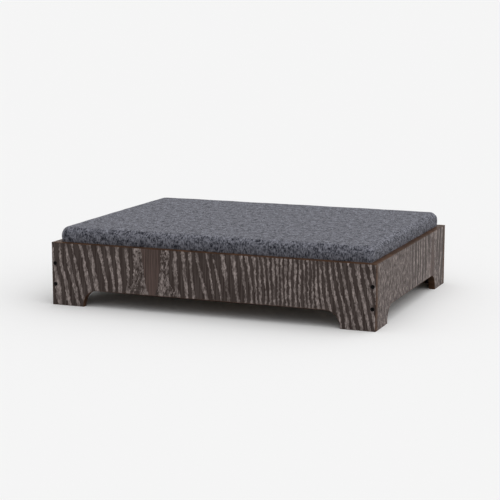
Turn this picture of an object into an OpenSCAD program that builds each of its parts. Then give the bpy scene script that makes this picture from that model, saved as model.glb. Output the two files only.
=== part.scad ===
// Dog bed: a low panel frame on cut-out feet, with a lift-out box mattress.
// The origin is on the floor, at the centre of the footprint. X runs along the
// long panels, Y from the front to the back, and Z up. All sizes are in mm.

/* [Frame] */
// Overall width, along the front panel
frame_w = 800; // [640:10:1200]
// Overall depth, from the front panel's face to the back panel's face
frame_d = 600; // [480:10:900]
// Height of the panels, from the floor to the rim
frame_h = 150; // [130:1:220]
// Thickness of the finished panels
panel_t = 16; // [14:1:22]

/* [Feet and arches] */
// Width of a foot on the front and back panels
foot_w = 82; // [60:1:140]
// Reach of a foot along the side, from the outer corner of the frame
side_foot_w = 90; // [70:1:140]
// Height of the arches between the feet
arch_h = 40; // [20:1:50]
// Straight stretch at the bottom of an arch, below its round corner
arch_drop = 4; // [1:1:10]

/* [Edge banding] */
// Thickness of the banding on the cut edges
band_t = 1; // [0.4:0.1:2]

/* [Corner screws] */
// Length of a corner screw
corner_screw_len = 50; // [40:1:60]
// Radius of its head
corner_head_r = 4.8; // [4:0.1:5.5]
// Height of its head
corner_head_h = 3.5; // [2:0.1:4]
// Radius of its plain shank
corner_shank_r = 3; // [2.5:0.1:3.4]
// Outer radius of its thread
corner_thread_r = 3.2; // [2.6:0.1:3.6]
// Height of the lower screws above the floor
screw_low_z = 50; // [44:1:60]
// Height of the upper screws above the floor
screw_high_z = 100; // [85:1:115]

/* [Cleats and centre rail] */
// Width of a cleat, measured out from its panel
cleat_w = 20; // [16:1:26]
// Height of a cleat
cleat_h = 20; // [16:1:24]
// Width of the centre rail
rail_w = 40; // [30:1:60]
// Height of the centre rail
rail_h = 36; // [24:1:40]
// Depth of the half lap between the rail and the cleats
lap_h = 10; // [8:1:12]
// Clearance at the ends of the cleats and round the laps
joinery_gap = 0.5; // [0.2:0.1:1]

/* [Base boards] */
// Thickness of a base board
board_t = 8; // [6:1:12]
// Clearance round a base board
board_gap = 1; // [0.5:0.1:2]

/* [Small screws] */
// Depth that a cleat's screw reaches into the panel
panel_grip = 10; // [8:1:12]
// Depth that a base board's screw reaches into the cleat or rail
cleat_grip = 12; // [8:1:14]
// Head radius of the small screws
small_head_r = 3.5; // [3:0.1:4]
// Thread radius of the small screws
small_thread_r = 1.75; // [1.5:0.05:2]

/* [Mattress] */
// Thickness of the mattress
mattress_t = 80; // [70:1:84]
// Height by which the mattress stands above the rim
mattress_rise = 32; // [20:1:40]
// Clearance between the mattress and the panels
mattress_gap = 1; // [0.5:0.1:4]
// Clearance under the mattress
mattress_rest_gap = 0.3; // [0.2:0.1:1]
// Radius of the mattress's upright corners and of its top edge
mattress_r = 12; // [8:1:20]
// Thickness of the cover cloth
cover_t = 1.2; // [0.8:0.1:2]
// Slack between the cover and the foam
cover_slack = 0.2; // [0.1:0.1:1]

/* [Zipper] */
// Distance of the zipper's ends from the corners of the mattress
zip_end_gap = 83; // [40:1:120]
// Height of the opening
zip_open_h = 14; // [12:1:18]
// Height of the zipper above the underside of the mattress
zip_up = 30; // [20:1:40]
// Depth of the welt that sinks the zipper into the border
zip_welt = 4.2; // [4:0.1:5]

/* [Hidden] */

$fn = 48;
// Facets of the arches, of the mattress corners and of a screw's socket
arch_facets = 96;
corner_facets = 32;
socket_sides = 6;
// Cuts run past the face that they open by this much
cut = 1;
// Radial clearance of a screw in its bore
bore_gap = 0.05;

laminate = "#4d4242";
banding = "#5a4334";
steel_black = "#1c1b1b";
steel_zinc = "#b9b48f";
timber = "#c9a878";
board_brown = "#998879";
foam_white = "#e8e2cf";
cloth_grey = "#5d5f68";
base_cloth = "#2c2d31";
zip_black = "#202124";
zip_metal = "#8c8f94";

// The well that the four panels enclose
well_w = frame_w - 2 * panel_t;
well_d = frame_d - 2 * panel_t;
arch_r = arch_h - arch_drop;

// Levels, from the mattress down
mattress_top_z = frame_h + mattress_rise;
mattress_z = mattress_top_z - mattress_t;
board_top_z = mattress_z - mattress_rest_gap;
board_z = board_top_z - board_t;
cleat_z = board_z - cleat_h;

// Mattress
mattress_w = well_w - 2 * mattress_gap;
mattress_d = well_d - 2 * mattress_gap;
foam_inset = cover_t + cover_slack;

// Cleats and rail
side_cleat_len = well_d - 2 * cleat_w - 2 * joinery_gap;
front_cleat_len = well_w - 2 * joinery_gap;
cleat_y = well_d / 2 - cleat_w / 2;
cleat_x = well_w / 2 - cleat_w / 2;
rail_len = well_d - 2 * joinery_gap;

// Base boards
board_w = (well_w - 3 * board_gap) / 2;
board_d = well_d - 2 * board_gap;
board_x = board_gap / 2 + board_w / 2;

// Screws
corner_screw_x = frame_w / 2 - panel_t / 2;
// Size of the drive socket as a share of the head
socket_share = 0.5;
socket_depth = 2;
thread_pitch = 2.4;
thread_depth = 0.6;
small_head_h = 2;
small_core = 0.45;
small_pitch = 1.6;
tip_h = 3;
// Where a thread ring starts and where it is widest, as shares of the pitch
ring_root = 0.1;
ring_crest = 0.5;
// Wood left under the tip of a rail screw
rail_screw_floor = 2;
rail_screw_len = cleat_h - rail_screw_floor;
cleat_screw_len = cleat_w + panel_grip;
board_screw_len = board_t + cleat_grip;
// Where the screws stand, as shares of the length that they hold
long_cleat_shares = [-0.4, -0.15, 0.15, 0.4];
side_cleat_shares = [-0.4, -0.15, 0.15, 0.4];
board_edge_shares = [-0.25, 0.25];
board_side_shares = [-0.3, 0, 0.3];
// Distance of the base boards' seam screws from the seam
seam_screw_x = rail_w / 4;

// Zipper
zip_len = mattress_w - 2 * zip_end_gap;
zip_z = mattress_z + zip_up;
zip_back_y = mattress_d / 2;
tape_t = 0.8;
tape_y = zip_back_y - zip_welt - tape_t;
teeth_w = 2.2;
teeth_t = 1.6;
teeth_slit = 1.4;
// Distance from an end of the opening to the end of the teeth
teeth_end_gap = 10;
teeth_len = zip_len - 2 * teeth_end_gap;
stop_len = 3;
slider_len = 12;
slider_w = 9;
slider_plate = 1.2;
slider_gap = 0.3;
slider_neck = 0.7;
slider_neck_len = 3;
groove_gap = 1;
slider_x = teeth_len / 2 - slider_gap - slider_len / 2;

// ---------------------------------------------------------------- panels

// Outline of the opening between two feet. inset makes it larger, for the
// board behind the banding.
module arch_2d(half_w, inset = 0) {
    r = arch_r + inset;
    reach = half_w + inset;
    translate([-reach, -cut])
        square([2 * reach, arch_drop + cut]);
    translate([-(reach - r), -cut])
        square([2 * (reach - r), arch_h + inset + cut]);
    for (side = [-1, 1])
        translate([side * (reach - r), arch_drop])
            circle(r = r, $fn = arch_facets);
}

// Board core of one panel, upright in the XZ plane, its inner face at y = 0
// and its outer face at y = -panel_t. side_band is the banding at each end.
module panel_core(len, arch_half, side_band) {
    rotate([90, 0, 0])
        linear_extrude(panel_t)
            difference() {
                translate([-len / 2 + side_band, band_t])
                    square([len - 2 * side_band, frame_h - 2 * band_t]);
                arch_2d(arch_half, band_t);
            }
}

module rim_band(len) {
    translate([-len / 2, -panel_t, frame_h - band_t])
        cube([len, panel_t, band_t]);
}

module end_bands(len) {
    for (side = [-1, 1])
        translate([side * (len - band_t) / 2 - band_t / 2, -panel_t, band_t])
            cube([band_t, panel_t, frame_h - 2 * band_t]);
}

module arch_band(arch_half) {
    rotate([90, 0, 0])
        linear_extrude(panel_t)
            difference() {
                intersection() {
                    arch_2d(arch_half, band_t);
                    translate([-arch_half - band_t, 0])
                        square([2 * (arch_half + band_t), arch_h + band_t]);
                }
                arch_2d(arch_half);
            }
}

// The strips that the feet stand on
module foot_bands(len, arch_half) {
    width = len / 2 - arch_half - band_t;
    for (side = [-1, 1])
        translate([side * (len - width) / 2 - width / 2, -panel_t, 0])
            cube([width, panel_t, band_t]);
}

long_len = frame_w;
long_arch = frame_w / 2 - foot_w;
side_len = well_d;
side_arch = frame_d / 2 - side_foot_w;

module at_front() { translate([0, -well_d / 2, 0]) children(); }
module at_back() { rotate([0, 0, 180]) translate([0, -well_d / 2, 0]) children(); }
module at_left() { rotate([0, 0, -90]) translate([0, -well_w / 2, 0]) children(); }
module at_right() { rotate([0, 0, 90]) translate([0, -well_w / 2, 0]) children(); }

// ---------------------------------------------------------------- screws

// A screw that points along -Z, with the top of its head at z = 0. The thread
// is a row of sharp rings from thread_from down to the tip.
module screw(head_r, head_h, shank_r, thread_r, len, thread_from, depth, pitch) {
    rings = floor((len - thread_from - tip_h) / pitch);
    core_r = thread_r - depth;
    difference() {
        rotate_extrude()
            polygon(concat(
                [[0, 0], [head_r, 0], [shank_r, -head_h], [shank_r, -thread_from]],
                [for (i = [0 : rings - 1], side = [0, 1])
                    side == 0
                        ? [core_r, -thread_from - (i + ring_root) * pitch]
                        : [thread_r, -thread_from - (i + ring_crest) * pitch]],
                [[core_r, -len + tip_h], [0, -len]]
            ));
        translate([0, 0, -socket_depth])
            cylinder(r = socket_share * head_r, h = socket_depth + cut, $fn = socket_sides);
    }
}

// The bore that the same screw seats in
module screw_bore(head_r, head_h, shank_r, len) {
    rotate_extrude()
        polygon([
            [0, cut], [head_r + bore_gap, cut], [head_r + bore_gap, 0],
            [shank_r + bore_gap, -head_h], [shank_r + bore_gap, -len - bore_gap],
            [0, -len - bore_gap]
        ]);
}

module small_screw(len) {
    screw(small_head_r, small_head_h, small_thread_r, small_thread_r, len,
        small_head_h + small_pitch, small_core, small_pitch);
}

module small_bore(len) {
    screw_bore(small_head_r, small_head_h, small_thread_r, len);
}

// Everything that stands where the corner screws of one long panel stand
module at_corner_screws() {
    for (side = [-1, 1], z = [screw_low_z, screw_high_z])
        translate([side * corner_screw_x, -frame_d / 2, z])
            rotate([90, 0, 0])
                children();
}

module corner_screws() {
    color(steel_black)
        at_corner_screws()
            screw(corner_head_r, corner_head_h, corner_shank_r, corner_thread_r,
                corner_screw_len, panel_t, thread_depth, thread_pitch);
}

module corner_bores() {
    at_corner_screws() {
        screw_bore(corner_head_r, corner_head_h, corner_shank_r, panel_t + cut);
        screw_bore(corner_thread_r, corner_head_h, corner_thread_r, corner_screw_len);
    }
}

module both_corner_bores() {
    corner_bores();
    rotate([0, 0, 180]) corner_bores();
}

// Where the cleat screws stand: their heads are on the inner face of a cleat
// and they point into the panel
module at_cleat_screws() {
    z = cleat_z + cleat_h / 2;
    for (end = [0, 180], share = long_cleat_shares)
        rotate([0, 0, end])
            translate([share * front_cleat_len, -well_d / 2 + cleat_w, z])
                rotate([-90, 0, 0])
                    children();
    for (end = [90, 270], share = side_cleat_shares)
        rotate([0, 0, end])
            translate([share * side_cleat_len, -well_w / 2 + cleat_w, z])
                rotate([-90, 0, 0])
                    children();
}

module at_rail_screws() {
    for (side = [-1, 1])
        translate([0, side * cleat_y, board_z])
            children();
}

// Where the base boards are screwed down: along the front and back cleats,
// the side cleats, and both sides of the seam over the centre rail
module at_board_screws() {
    for (side = [-1, 1], front = [-1, 1], share = board_edge_shares)
        translate([side * board_x + share * board_w, front * cleat_y, board_top_z])
            children();
    for (side = [-1, 1], share = board_side_shares)
        translate([side * cleat_x, share * side_cleat_len, board_top_z])
            children();
    for (side = [-1, 1], share = board_side_shares)
        translate([side * seam_screw_x, share * side_cleat_len, board_top_z])
            children();
}

// ---------------------------------------------------------------- panel nodes

module front_panel() {
    color(laminate)
        difference() {
            at_front() panel_core(long_len, long_arch, band_t);
            corner_bores();
            at_cleat_screws() small_bore(cleat_screw_len);
        }
}

module back_panel() {
    color(laminate)
        difference() {
            at_back() panel_core(long_len, long_arch, band_t);
            rotate([0, 0, 180]) corner_bores();
            at_cleat_screws() small_bore(cleat_screw_len);
        }
}

module left_end_panel() {
    color(laminate)
        difference() {
            at_left() panel_core(side_len, side_arch, 0);
            both_corner_bores();
            at_cleat_screws() small_bore(cleat_screw_len);
        }
}

module right_end_panel() {
    color(laminate)
        difference() {
            at_right() panel_core(side_len, side_arch, 0);
            both_corner_bores();
            at_cleat_screws() small_bore(cleat_screw_len);
        }
}

module front_rim_band() { color(banding) at_front() rim_band(long_len); }
module back_rim_band() { color(banding) at_back() rim_band(long_len); }
module left_rim_band() { color(banding) at_left() rim_band(side_len); }
module right_rim_band() { color(banding) at_right() rim_band(side_len); }
module front_end_bands() { color(banding) at_front() end_bands(long_len); }
module back_end_bands() { color(banding) at_back() end_bands(long_len); }
module front_arch_band() { color(banding) at_front() arch_band(long_arch); }
module back_arch_band() { color(banding) at_back() arch_band(long_arch); }
module left_arch_band() { color(banding) at_left() arch_band(side_arch); }
module right_arch_band() { color(banding) at_right() arch_band(side_arch); }
module front_foot_bands() { color(banding) at_front() foot_bands(long_len, long_arch); }
module back_foot_bands() { color(banding) at_back() foot_bands(long_len, long_arch); }
module left_foot_bands() { color(banding) at_left() foot_bands(side_len, side_arch); }
module right_foot_bands() { color(banding) at_right() foot_bands(side_len, side_arch); }

module front_corner_screws() { corner_screws(); }
module back_corner_screws() { rotate([0, 0, 180]) corner_screws(); }

// ---------------------------------------------------------------- supports

// A cleat on a long panel, with the lap that takes the rail's tongue
module long_cleat() {
    difference() {
        translate([-front_cleat_len / 2, -well_d / 2, cleat_z])
            cube([front_cleat_len, cleat_w, cleat_h]);
        translate([-rail_w / 2 - joinery_gap, -well_d / 2 - cut, board_z - lap_h])
            cube([rail_w + 2 * joinery_gap, cleat_w + 2 * cut, lap_h + cut]);
    }
}

module side_cleat() {
    translate([-side_cleat_len / 2, -well_w / 2, cleat_z])
        cube([side_cleat_len, cleat_w, cleat_h]);
}

module cleat_bores() {
    at_cleat_screws() small_bore(cleat_screw_len);
    at_board_screws() small_bore(board_screw_len);
    at_rail_screws() small_bore(rail_screw_len);
}

module front_cleat() { color(timber) difference() { long_cleat(); cleat_bores(); } }

module back_cleat() {
    color(timber) difference() { rotate([0, 0, 180]) long_cleat(); cleat_bores(); }
}

module left_cleat() {
    color(timber) difference() { rotate([0, 0, -90]) side_cleat(); cleat_bores(); }
}

module right_cleat() {
    color(timber) difference() { rotate([0, 0, 90]) side_cleat(); cleat_bores(); }
}

module cleat_screws() {
    color(steel_zinc)
        at_cleat_screws() small_screw(cleat_screw_len);
}

module centre_rail() {
    drop_len = well_d - 2 * cleat_w - 2 * joinery_gap;
    color(timber)
        difference() {
            union() {
                translate([-rail_w / 2, -rail_len / 2, board_z - lap_h])
                    cube([rail_w, rail_len, lap_h]);
                translate([-rail_w / 2, -drop_len / 2, board_z - rail_h])
                    cube([rail_w, drop_len, rail_h - lap_h + cut]);
            }
            at_board_screws() small_bore(board_screw_len);
            at_rail_screws() small_bore(rail_screw_len);
        }
}

module rail_screws() { color(steel_zinc) at_rail_screws() small_screw(rail_screw_len); }

module base_board(side) {
    color(board_brown)
        difference() {
            translate([side * board_x - board_w / 2, -board_d / 2, board_z])
                cube([board_w, board_d, board_t]);
            at_board_screws() small_bore(board_screw_len);
        }
}

module left_base_board() { base_board(-1); }
module right_base_board() { base_board(1); }

module base_board_screws() { color(steel_zinc) at_board_screws() small_screw(board_screw_len); }

// ---------------------------------------------------------------- mattress

// A box with round upright corners and a round top edge, shrunk on all sides
// by inset
module soft_box(inset) {
    r = mattress_r - inset;
    x = mattress_w / 2 - mattress_r;
    y = mattress_d / 2 - mattress_r;
    hull()
        for (sx = [-1, 1], sy = [-1, 1])
            translate([sx * x, sy * y, 0]) {
                translate([0, 0, mattress_z + inset])
                    cylinder(r = r, h = mattress_t - mattress_r - inset, $fn = corner_facets);
                translate([0, 0, mattress_top_z - mattress_r])
                    sphere(r = r, $fn = corner_facets);
            }
}

// The groove in the back border that the zipper lies in
module zip_slot(grow, from_y) {
    translate([-zip_len / 2 - grow, from_y, zip_z - zip_open_h / 2 - grow])
        cube([zip_len + 2 * grow, zip_back_y - from_y + cut, zip_open_h + 2 * grow]);
}

module mattress_foam() {
    color(foam_white)
        difference() {
            soft_box(foam_inset);
            zip_slot(cover_t + groove_gap, tape_y - 2 * groove_gap - slider_plate);
        }
}

// The outer cloth: top and borders in one, with a sunk welt round the zipper
module mattress_cover() {
    color(cloth_grey)
        difference() {
            union() {
                difference() {
                    soft_box(0);
                    soft_box(cover_t);
                    translate([-mattress_w / 2, -mattress_d / 2, mattress_z - cut])
                        cube([mattress_w, mattress_d, cover_t + cut]);
                }
                translate([-zip_len / 2 - cover_t, tape_y + tape_t, zip_z - zip_open_h / 2 - cover_t])
                    cube([zip_len + 2 * cover_t, zip_welt - cover_t / 2, zip_open_h + 2 * cover_t]);
            }
            zip_slot(0, tape_y);
        }
}

module mattress_base_cloth() {
    x = mattress_w / 2 - mattress_r;
    y = mattress_d / 2 - mattress_r;
    color(base_cloth)
        hull()
            for (sx = [-1, 1], sy = [-1, 1])
                translate([sx * x, sy * y, mattress_z])
                    cylinder(r = mattress_r, h = cover_t, $fn = corner_facets);
}

module zipper_tapes() {
    tape_h = zip_open_h / 2 + cover_t - teeth_slit / 2;
    color(zip_black)
        for (side = [-1, 1])
            translate([
                -zip_len / 2 - cover_t, tape_y,
                zip_z + side * (teeth_slit + tape_h) / 2 - tape_h / 2
            ])
                cube([zip_len + 2 * cover_t, tape_t, tape_h]);
}

module zipper_teeth() {
    color(zip_black)
        for (side = [-1, 1])
            translate([
                -teeth_len / 2, tape_y + tape_t,
                zip_z + side * (teeth_slit + teeth_w) / 2 - teeth_w / 2
            ])
                cube([teeth_len, teeth_t, teeth_w]);
}

module zipper_stops() {
    color(zip_metal)
        for (end = [-1, 1])
            translate([
                end * (teeth_len + stop_len) / 2 - stop_len / 2,
                tape_y + tape_t, zip_z - slider_w / 2
            ])
                cube([stop_len, teeth_t, slider_w]);
}

// A low locking slider with no pull: two plates joined by a thin neck
module zipper_slider() {
    outer_y = tape_y + tape_t + teeth_t + slider_gap;
    inner_y = tape_y - slider_gap - slider_plate;
    color(zip_metal)
        translate([slider_x, 0, zip_z]) {
            for (y = [outer_y, inner_y])
                translate([-slider_len / 2, y, -slider_w / 2])
                    cube([slider_len, slider_plate, slider_w]);
            translate([-slider_neck_len / 2, inner_y, -slider_neck / 2])
                cube([slider_neck_len, outer_y - inner_y + slider_plate / 2, slider_neck]);
        }
}

front_panel();
back_panel();
left_end_panel();
right_end_panel();
front_rim_band();
back_rim_band();
left_rim_band();
right_rim_band();
front_end_bands();
back_end_bands();
front_arch_band();
back_arch_band();
left_arch_band();
right_arch_band();
front_foot_bands();
back_foot_bands();
left_foot_bands();
right_foot_bands();
front_corner_screws();
back_corner_screws();
front_cleat();
back_cleat();
left_cleat();
right_cleat();
cleat_screws();
centre_rail();
rail_screws();
left_base_board();
right_base_board();
base_board_screws();
mattress_foam();
mattress_cover();
mattress_base_cloth();
zipper_tapes();
zipper_teeth();
zipper_stops();
zipper_slider();
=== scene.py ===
"""Dog bed with frame: a low bed of wood-grain laminate board round a zipped foam mattress.

Everything is in metres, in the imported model's own frame: X along the front, Y from front to back, Z up.
"""

import math
import bmesh
import bpy
import numpy as np
from bpy.props import FloatProperty, FloatVectorProperty, IntProperty, PointerProperty
from mathutils import Matrix, Vector


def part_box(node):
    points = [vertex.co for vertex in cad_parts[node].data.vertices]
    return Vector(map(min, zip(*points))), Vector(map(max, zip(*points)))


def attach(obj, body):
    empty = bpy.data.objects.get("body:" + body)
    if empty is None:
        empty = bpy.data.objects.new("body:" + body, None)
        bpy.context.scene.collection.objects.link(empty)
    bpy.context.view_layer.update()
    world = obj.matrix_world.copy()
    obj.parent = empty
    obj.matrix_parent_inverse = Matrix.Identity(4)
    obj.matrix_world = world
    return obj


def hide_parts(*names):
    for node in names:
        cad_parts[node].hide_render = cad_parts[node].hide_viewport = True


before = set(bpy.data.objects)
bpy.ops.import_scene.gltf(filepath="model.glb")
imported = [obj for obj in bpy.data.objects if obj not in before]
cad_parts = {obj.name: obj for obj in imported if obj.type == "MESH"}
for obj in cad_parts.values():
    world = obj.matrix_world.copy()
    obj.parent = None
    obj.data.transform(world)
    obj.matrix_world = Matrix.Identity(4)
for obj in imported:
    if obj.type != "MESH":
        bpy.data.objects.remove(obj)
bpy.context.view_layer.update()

bl_info = {
    "name": "Dog Bed With Frame",
    "version": (1, 0, 0),
    "blender": (4, 5, 0),
    "location": "3D View > Sidebar > Dog Bed",
    "description": "Dresses the packed dog bed with its laminate, edge bands, screws and mattress",
    "category": "Object",
}

MM = 0.001
TURN = 2 * math.pi
CRISP = math.radians(40)
SOFT = math.radians(60)
SAME_PLACE = 0.001 * MM
TINY = 1e-6
CLOTH_MAP = "Cloth"

FRAME_BODY = "frame"
MATTRESS_BODY = "mattress"
SLIDER_BODY = "zipper_slider"

RIM_LOW, RIM_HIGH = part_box("front_rim_band")
COVER_LOW, COVER_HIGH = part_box("mattress_cover")
BASE_LOW, BASE_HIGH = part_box("mattress_base_cloth")
TEETH_LOW, TEETH_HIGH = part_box("zipper_teeth")
TAPES_LOW, TAPES_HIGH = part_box("zipper_tapes")
SLIDER_LOW, SLIDER_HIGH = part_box("zipper_slider")

FRAME_HALF_X = RIM_HIGH.x
FRAME_HALF_Y = -RIM_LOW.y
FRAME_TOP = RIM_HIGH.z
BAND_T = RIM_HIGH.z - RIM_LOW.z
PANEL_T = RIM_HIGH.y - RIM_LOW.y
WELL_HALF_X = FRAME_HALF_X - PANEL_T
WELL_HALF_Y = FRAME_HALF_Y - PANEL_T
ARCH_DROP = 4 * MM
ZIP_Z = (TEETH_LOW.z + TEETH_HIGH.z) / 2


# ---------------------------------------------------------------- sizes and colours that can be changed


def colour(name, description, value):
    """A colour property, in linear light."""
    return FloatVectorProperty(
        name=name, description=description, subtype="COLOR", size=3, min=0, max=1, default=value
    )


def length(name, description, value):
    """A length property, in metres."""
    return FloatProperty(
        name=name, description=description, subtype="DISTANCE", unit="LENGTH", default=value
    )


def turning(name, description, degrees):
    """An angle property, from degrees."""
    return FloatProperty(
        name=name, description=description, subtype="ANGLE", default=math.radians(degrees)
    )


def plain(name, description, value):
    """A property that is just a number."""
    return FloatProperty(name=name, description=description, default=value)


class DogBedBoardSettings(bpy.types.PropertyGroup):
    late_wood: colour("Late wood", "Smooth dark ground of the laminate", (0.106, 0.084, 0.077))
    late_wood_deep: colour("Deep late wood", "Darkest fibres of the laminate", (0.046, 0.033, 0.029))
    early_wood: colour("Early wood", "Light porous streaks of the laminate", (0.545, 0.463, 0.438))
    early_wood_grey: colour("Grey early wood", "Duller part of the light streaks", (0.237, 0.198, 0.185))
    heart_wood: colour("Heart wood", "Reddish wedge at the middle of the rings", (0.140, 0.096, 0.085))
    wide_ring: length("Wide ring", "Ring spacing round the heart", 21 * MM)
    fine_ring: length("Fine ring", "Ring spacing in the tight part", 10.5 * MM)
    late_ring: length("Late ring", "Ring spacing beyond the tight part", 16 * MM)
    heart_place: length("Heart place", "Where the heart lies along the front", -140 * MM)
    band_brown: colour("Band brown", "Edge banding", (0.094, 0.047, 0.026))
    band_easing: length("Band easing", "Rounding of the band's outer arrises", 0.4 * MM)


class DogBedTimberSettings(bpy.types.PropertyGroup):
    pine: colour("Pine", "Pale part of the cleats", (0.60, 0.43, 0.255))
    pine_ring: colour("Pine ring", "Darker rings of the cleats", (0.40, 0.235, 0.11))
    fibre_board: colour("Fibre board", "Base boards", (0.36, 0.285, 0.22))
    screw_black: colour("Screw black", "Blackened corner screws", (0.004, 0.0035, 0.0035))
    screw_zinc: colour("Screw zinc", "Yellow-passivated small screws", (0.56, 0.50, 0.33))


class DogBedMattressSettings(bpy.types.PropertyGroup):
    yarn_dark: colour("Dark yarn", "Darkest yarn of the cover", (0.017, 0.018, 0.026))
    yarn_light: colour("Light yarn", "Lightest yarn of the cover", (0.264, 0.268, 0.312))
    yarn_pitch: length("Yarn pitch", "Distance from one yarn to the next", 1.7 * MM)
    voxel: length("Voxel", "Cell of the even mesh that swells", 7.2 * MM)
    swell_cap: length("Swell cap", "How far the filling may push the cover", 4.8 * MM)
    pressure: plain("Pressure", "Push of the filling", 4.0)
    swell_frames: IntProperty(name="Swell frames", description="Steps of the swelling", default=20)
    cover_t: length("Cover thickness", "Thickness of the woven cover", 1.2 * MM)
    foam_cream: colour("Foam cream", "Filling", (0.80, 0.74, 0.56))
    base_black: colour("Base black", "Cloth under the mattress", (0.020, 0.020, 0.024))
    tape_black: colour("Tape black", "Zipper tapes", (0.020, 0.020, 0.023))


class DogBedStageSettings(bpy.types.PropertyGroup):
    azimuth: turning("Azimuth", "Turn of the camera to the right", 21.65)
    elevation: turning("Elevation", "Height of the camera", 9.84)
    distance: length("Distance", "From the camera to the aim", 3.582)
    lens: plain("Lens", "Focal length in millimetres", 105.9)
    aim_forward: length("Aim forward", "The aim, in front of the bed's middle", 36 * MM)
    aim_height: length("Aim height", "The aim, above the floor", 114 * MM)
    pale: plain("Pale", "Brightness of the backdrop", 0.913)
    paint: plain("Paint", "Reflectance of the floor, as the camera sees it", 0.915)
    bounce: plain("Bounce", "Reflectance of the floor, as it lights the bed", 0.42)
    dome_falloff: plain("Dome falloff", "How fast the dome dims downwards", 0.9)
    dome_fill: plain("Dome fill", "Even part of the dome's light", 0.22)
    dome_right: plain("Dome right", "Extra light from the right", 0.85)


def tinted(tint, share):
    """A colour made darker or lighter by a share, and never above full."""
    return tuple(min(1.0, share * part) for part in tint)


def settings(group):
    """One of the bed's property groups, such as board or stage."""
    return getattr(bpy.context.scene, "dog_bed_" + group)


# ---------------------------------------------------------------- node trees


class Nodes:
    """Adds nodes to one tree. Any input takes a socket or a plain value."""

    def __init__(self, tree):
        self.tree = tree

    def feed(self, socket, value):
        if isinstance(value, bpy.types.NodeSocket):
            self.tree.links.new(value, socket)
        else:
            socket.default_value = value

    def add(self, kind, inputs=None, **options):
        node = self.tree.nodes.new(kind)
        for option, value in options.items():
            setattr(node, option, value)
        for key, value in (inputs or {}).items():
            self.feed(node.inputs[key], value)
        return node

    def math(self, operation, *values, clamp=False):
        node = self.add("ShaderNodeMath", operation=operation, use_clamp=clamp)
        for socket, value in zip(node.inputs, values):
            self.feed(socket, value)
        return node.outputs[0]

    def total(self, *values):
        result = values[0]
        for value in values[1:]:
            result = self.math("ADD", result, value)
        return result

    def product(self, *values):
        result = values[0]
        for value in values[1:]:
            result = self.math("MULTIPLY", result, value)
        return result

    def less(self, value, taken):
        return self.math("SUBTRACT", value, taken)

    def ratio(self, value, whole):
        return self.math("DIVIDE", value, whole)

    def ramp(self, value, low, high, to_low=0.0, to_high=1.0):
        """A smooth step from one value to another."""
        node = self.add(
            "ShaderNodeMapRange",
            {"Value": value, "From Min": low, "From Max": high, "To Min": to_low, "To Max": to_high},
            interpolation_type="SMOOTHSTEP",
        )
        return node.outputs["Result"]

    def point(self, x, y, z):
        return self.add("ShaderNodeCombineXYZ", {"X": x, "Y": y, "Z": z}).outputs[0]

    def stretched(self, places, scales):
        """A point for noise, with its own cells per metre on each of three axes."""
        return self.point(*(self.product(place, scale) for place, scale in zip(places, scales)))

    def noise(self, point, scale=1.0, detail=2.0, roughness=0.5):
        inputs = {"Vector": point, "Scale": scale, "Detail": detail, "Roughness": roughness}
        return self.add("ShaderNodeTexNoise", inputs).outputs[0]

    def swing(self, point, reach, detail=2.0, roughness=0.5):
        """Noise about zero; reach is its whole range."""
        about_zero = self.less(self.noise(point, 1.0, detail, roughness), 0.5)
        return self.product(about_zero, reach)

    def mix(self, share, first, second):
        node = self.add("ShaderNodeMix", data_type="RGBA")
        self.feed(node.inputs[0], share)
        for index, value in ((6, first), (7, second)):
            is_plain = not isinstance(value, bpy.types.NodeSocket)
            self.feed(node.inputs[index], (*value, 1) if is_plain else value)
        return node.outputs[2]

    def axes(self, vector):
        return self.add("ShaderNodeSeparateXYZ", {"Vector": vector}).outputs

    def place(self):
        """The piece's own coordinates, in metres."""
        return self.add("ShaderNodeTexCoord").outputs["Object"]

    def placed(self):
        """The piece's own X, Y and Z."""
        return self.axes(self.place())


def shader_group(name, inputs, outputs):
    """A new shader node group with float inputs and outputs: its nodes, what it is given, and its exit."""
    group = bpy.data.node_groups.new(name, "ShaderNodeTree")
    for label, value in inputs.items():
        socket = group.interface.new_socket(label, in_out="INPUT", socket_type="NodeSocketFloat")
        socket.default_value = value
    for label in outputs:
        group.interface.new_socket(label, in_out="OUTPUT", socket_type="NodeSocketFloat")
    nodes = Nodes(group)
    return nodes, nodes.add("NodeGroupInput").outputs, nodes.add("NodeGroupOutput").inputs


def use_group(nodes, name, **inputs):
    """Places a shader group and gives back its outputs; an input's spaces are written as underscores."""
    node = nodes.add("ShaderNodeGroup", node_tree=bpy.data.node_groups[name])
    for key, value in inputs.items():
        nodes.feed(node.inputs[key.replace("_", " ")], value)
    return node.outputs


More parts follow.
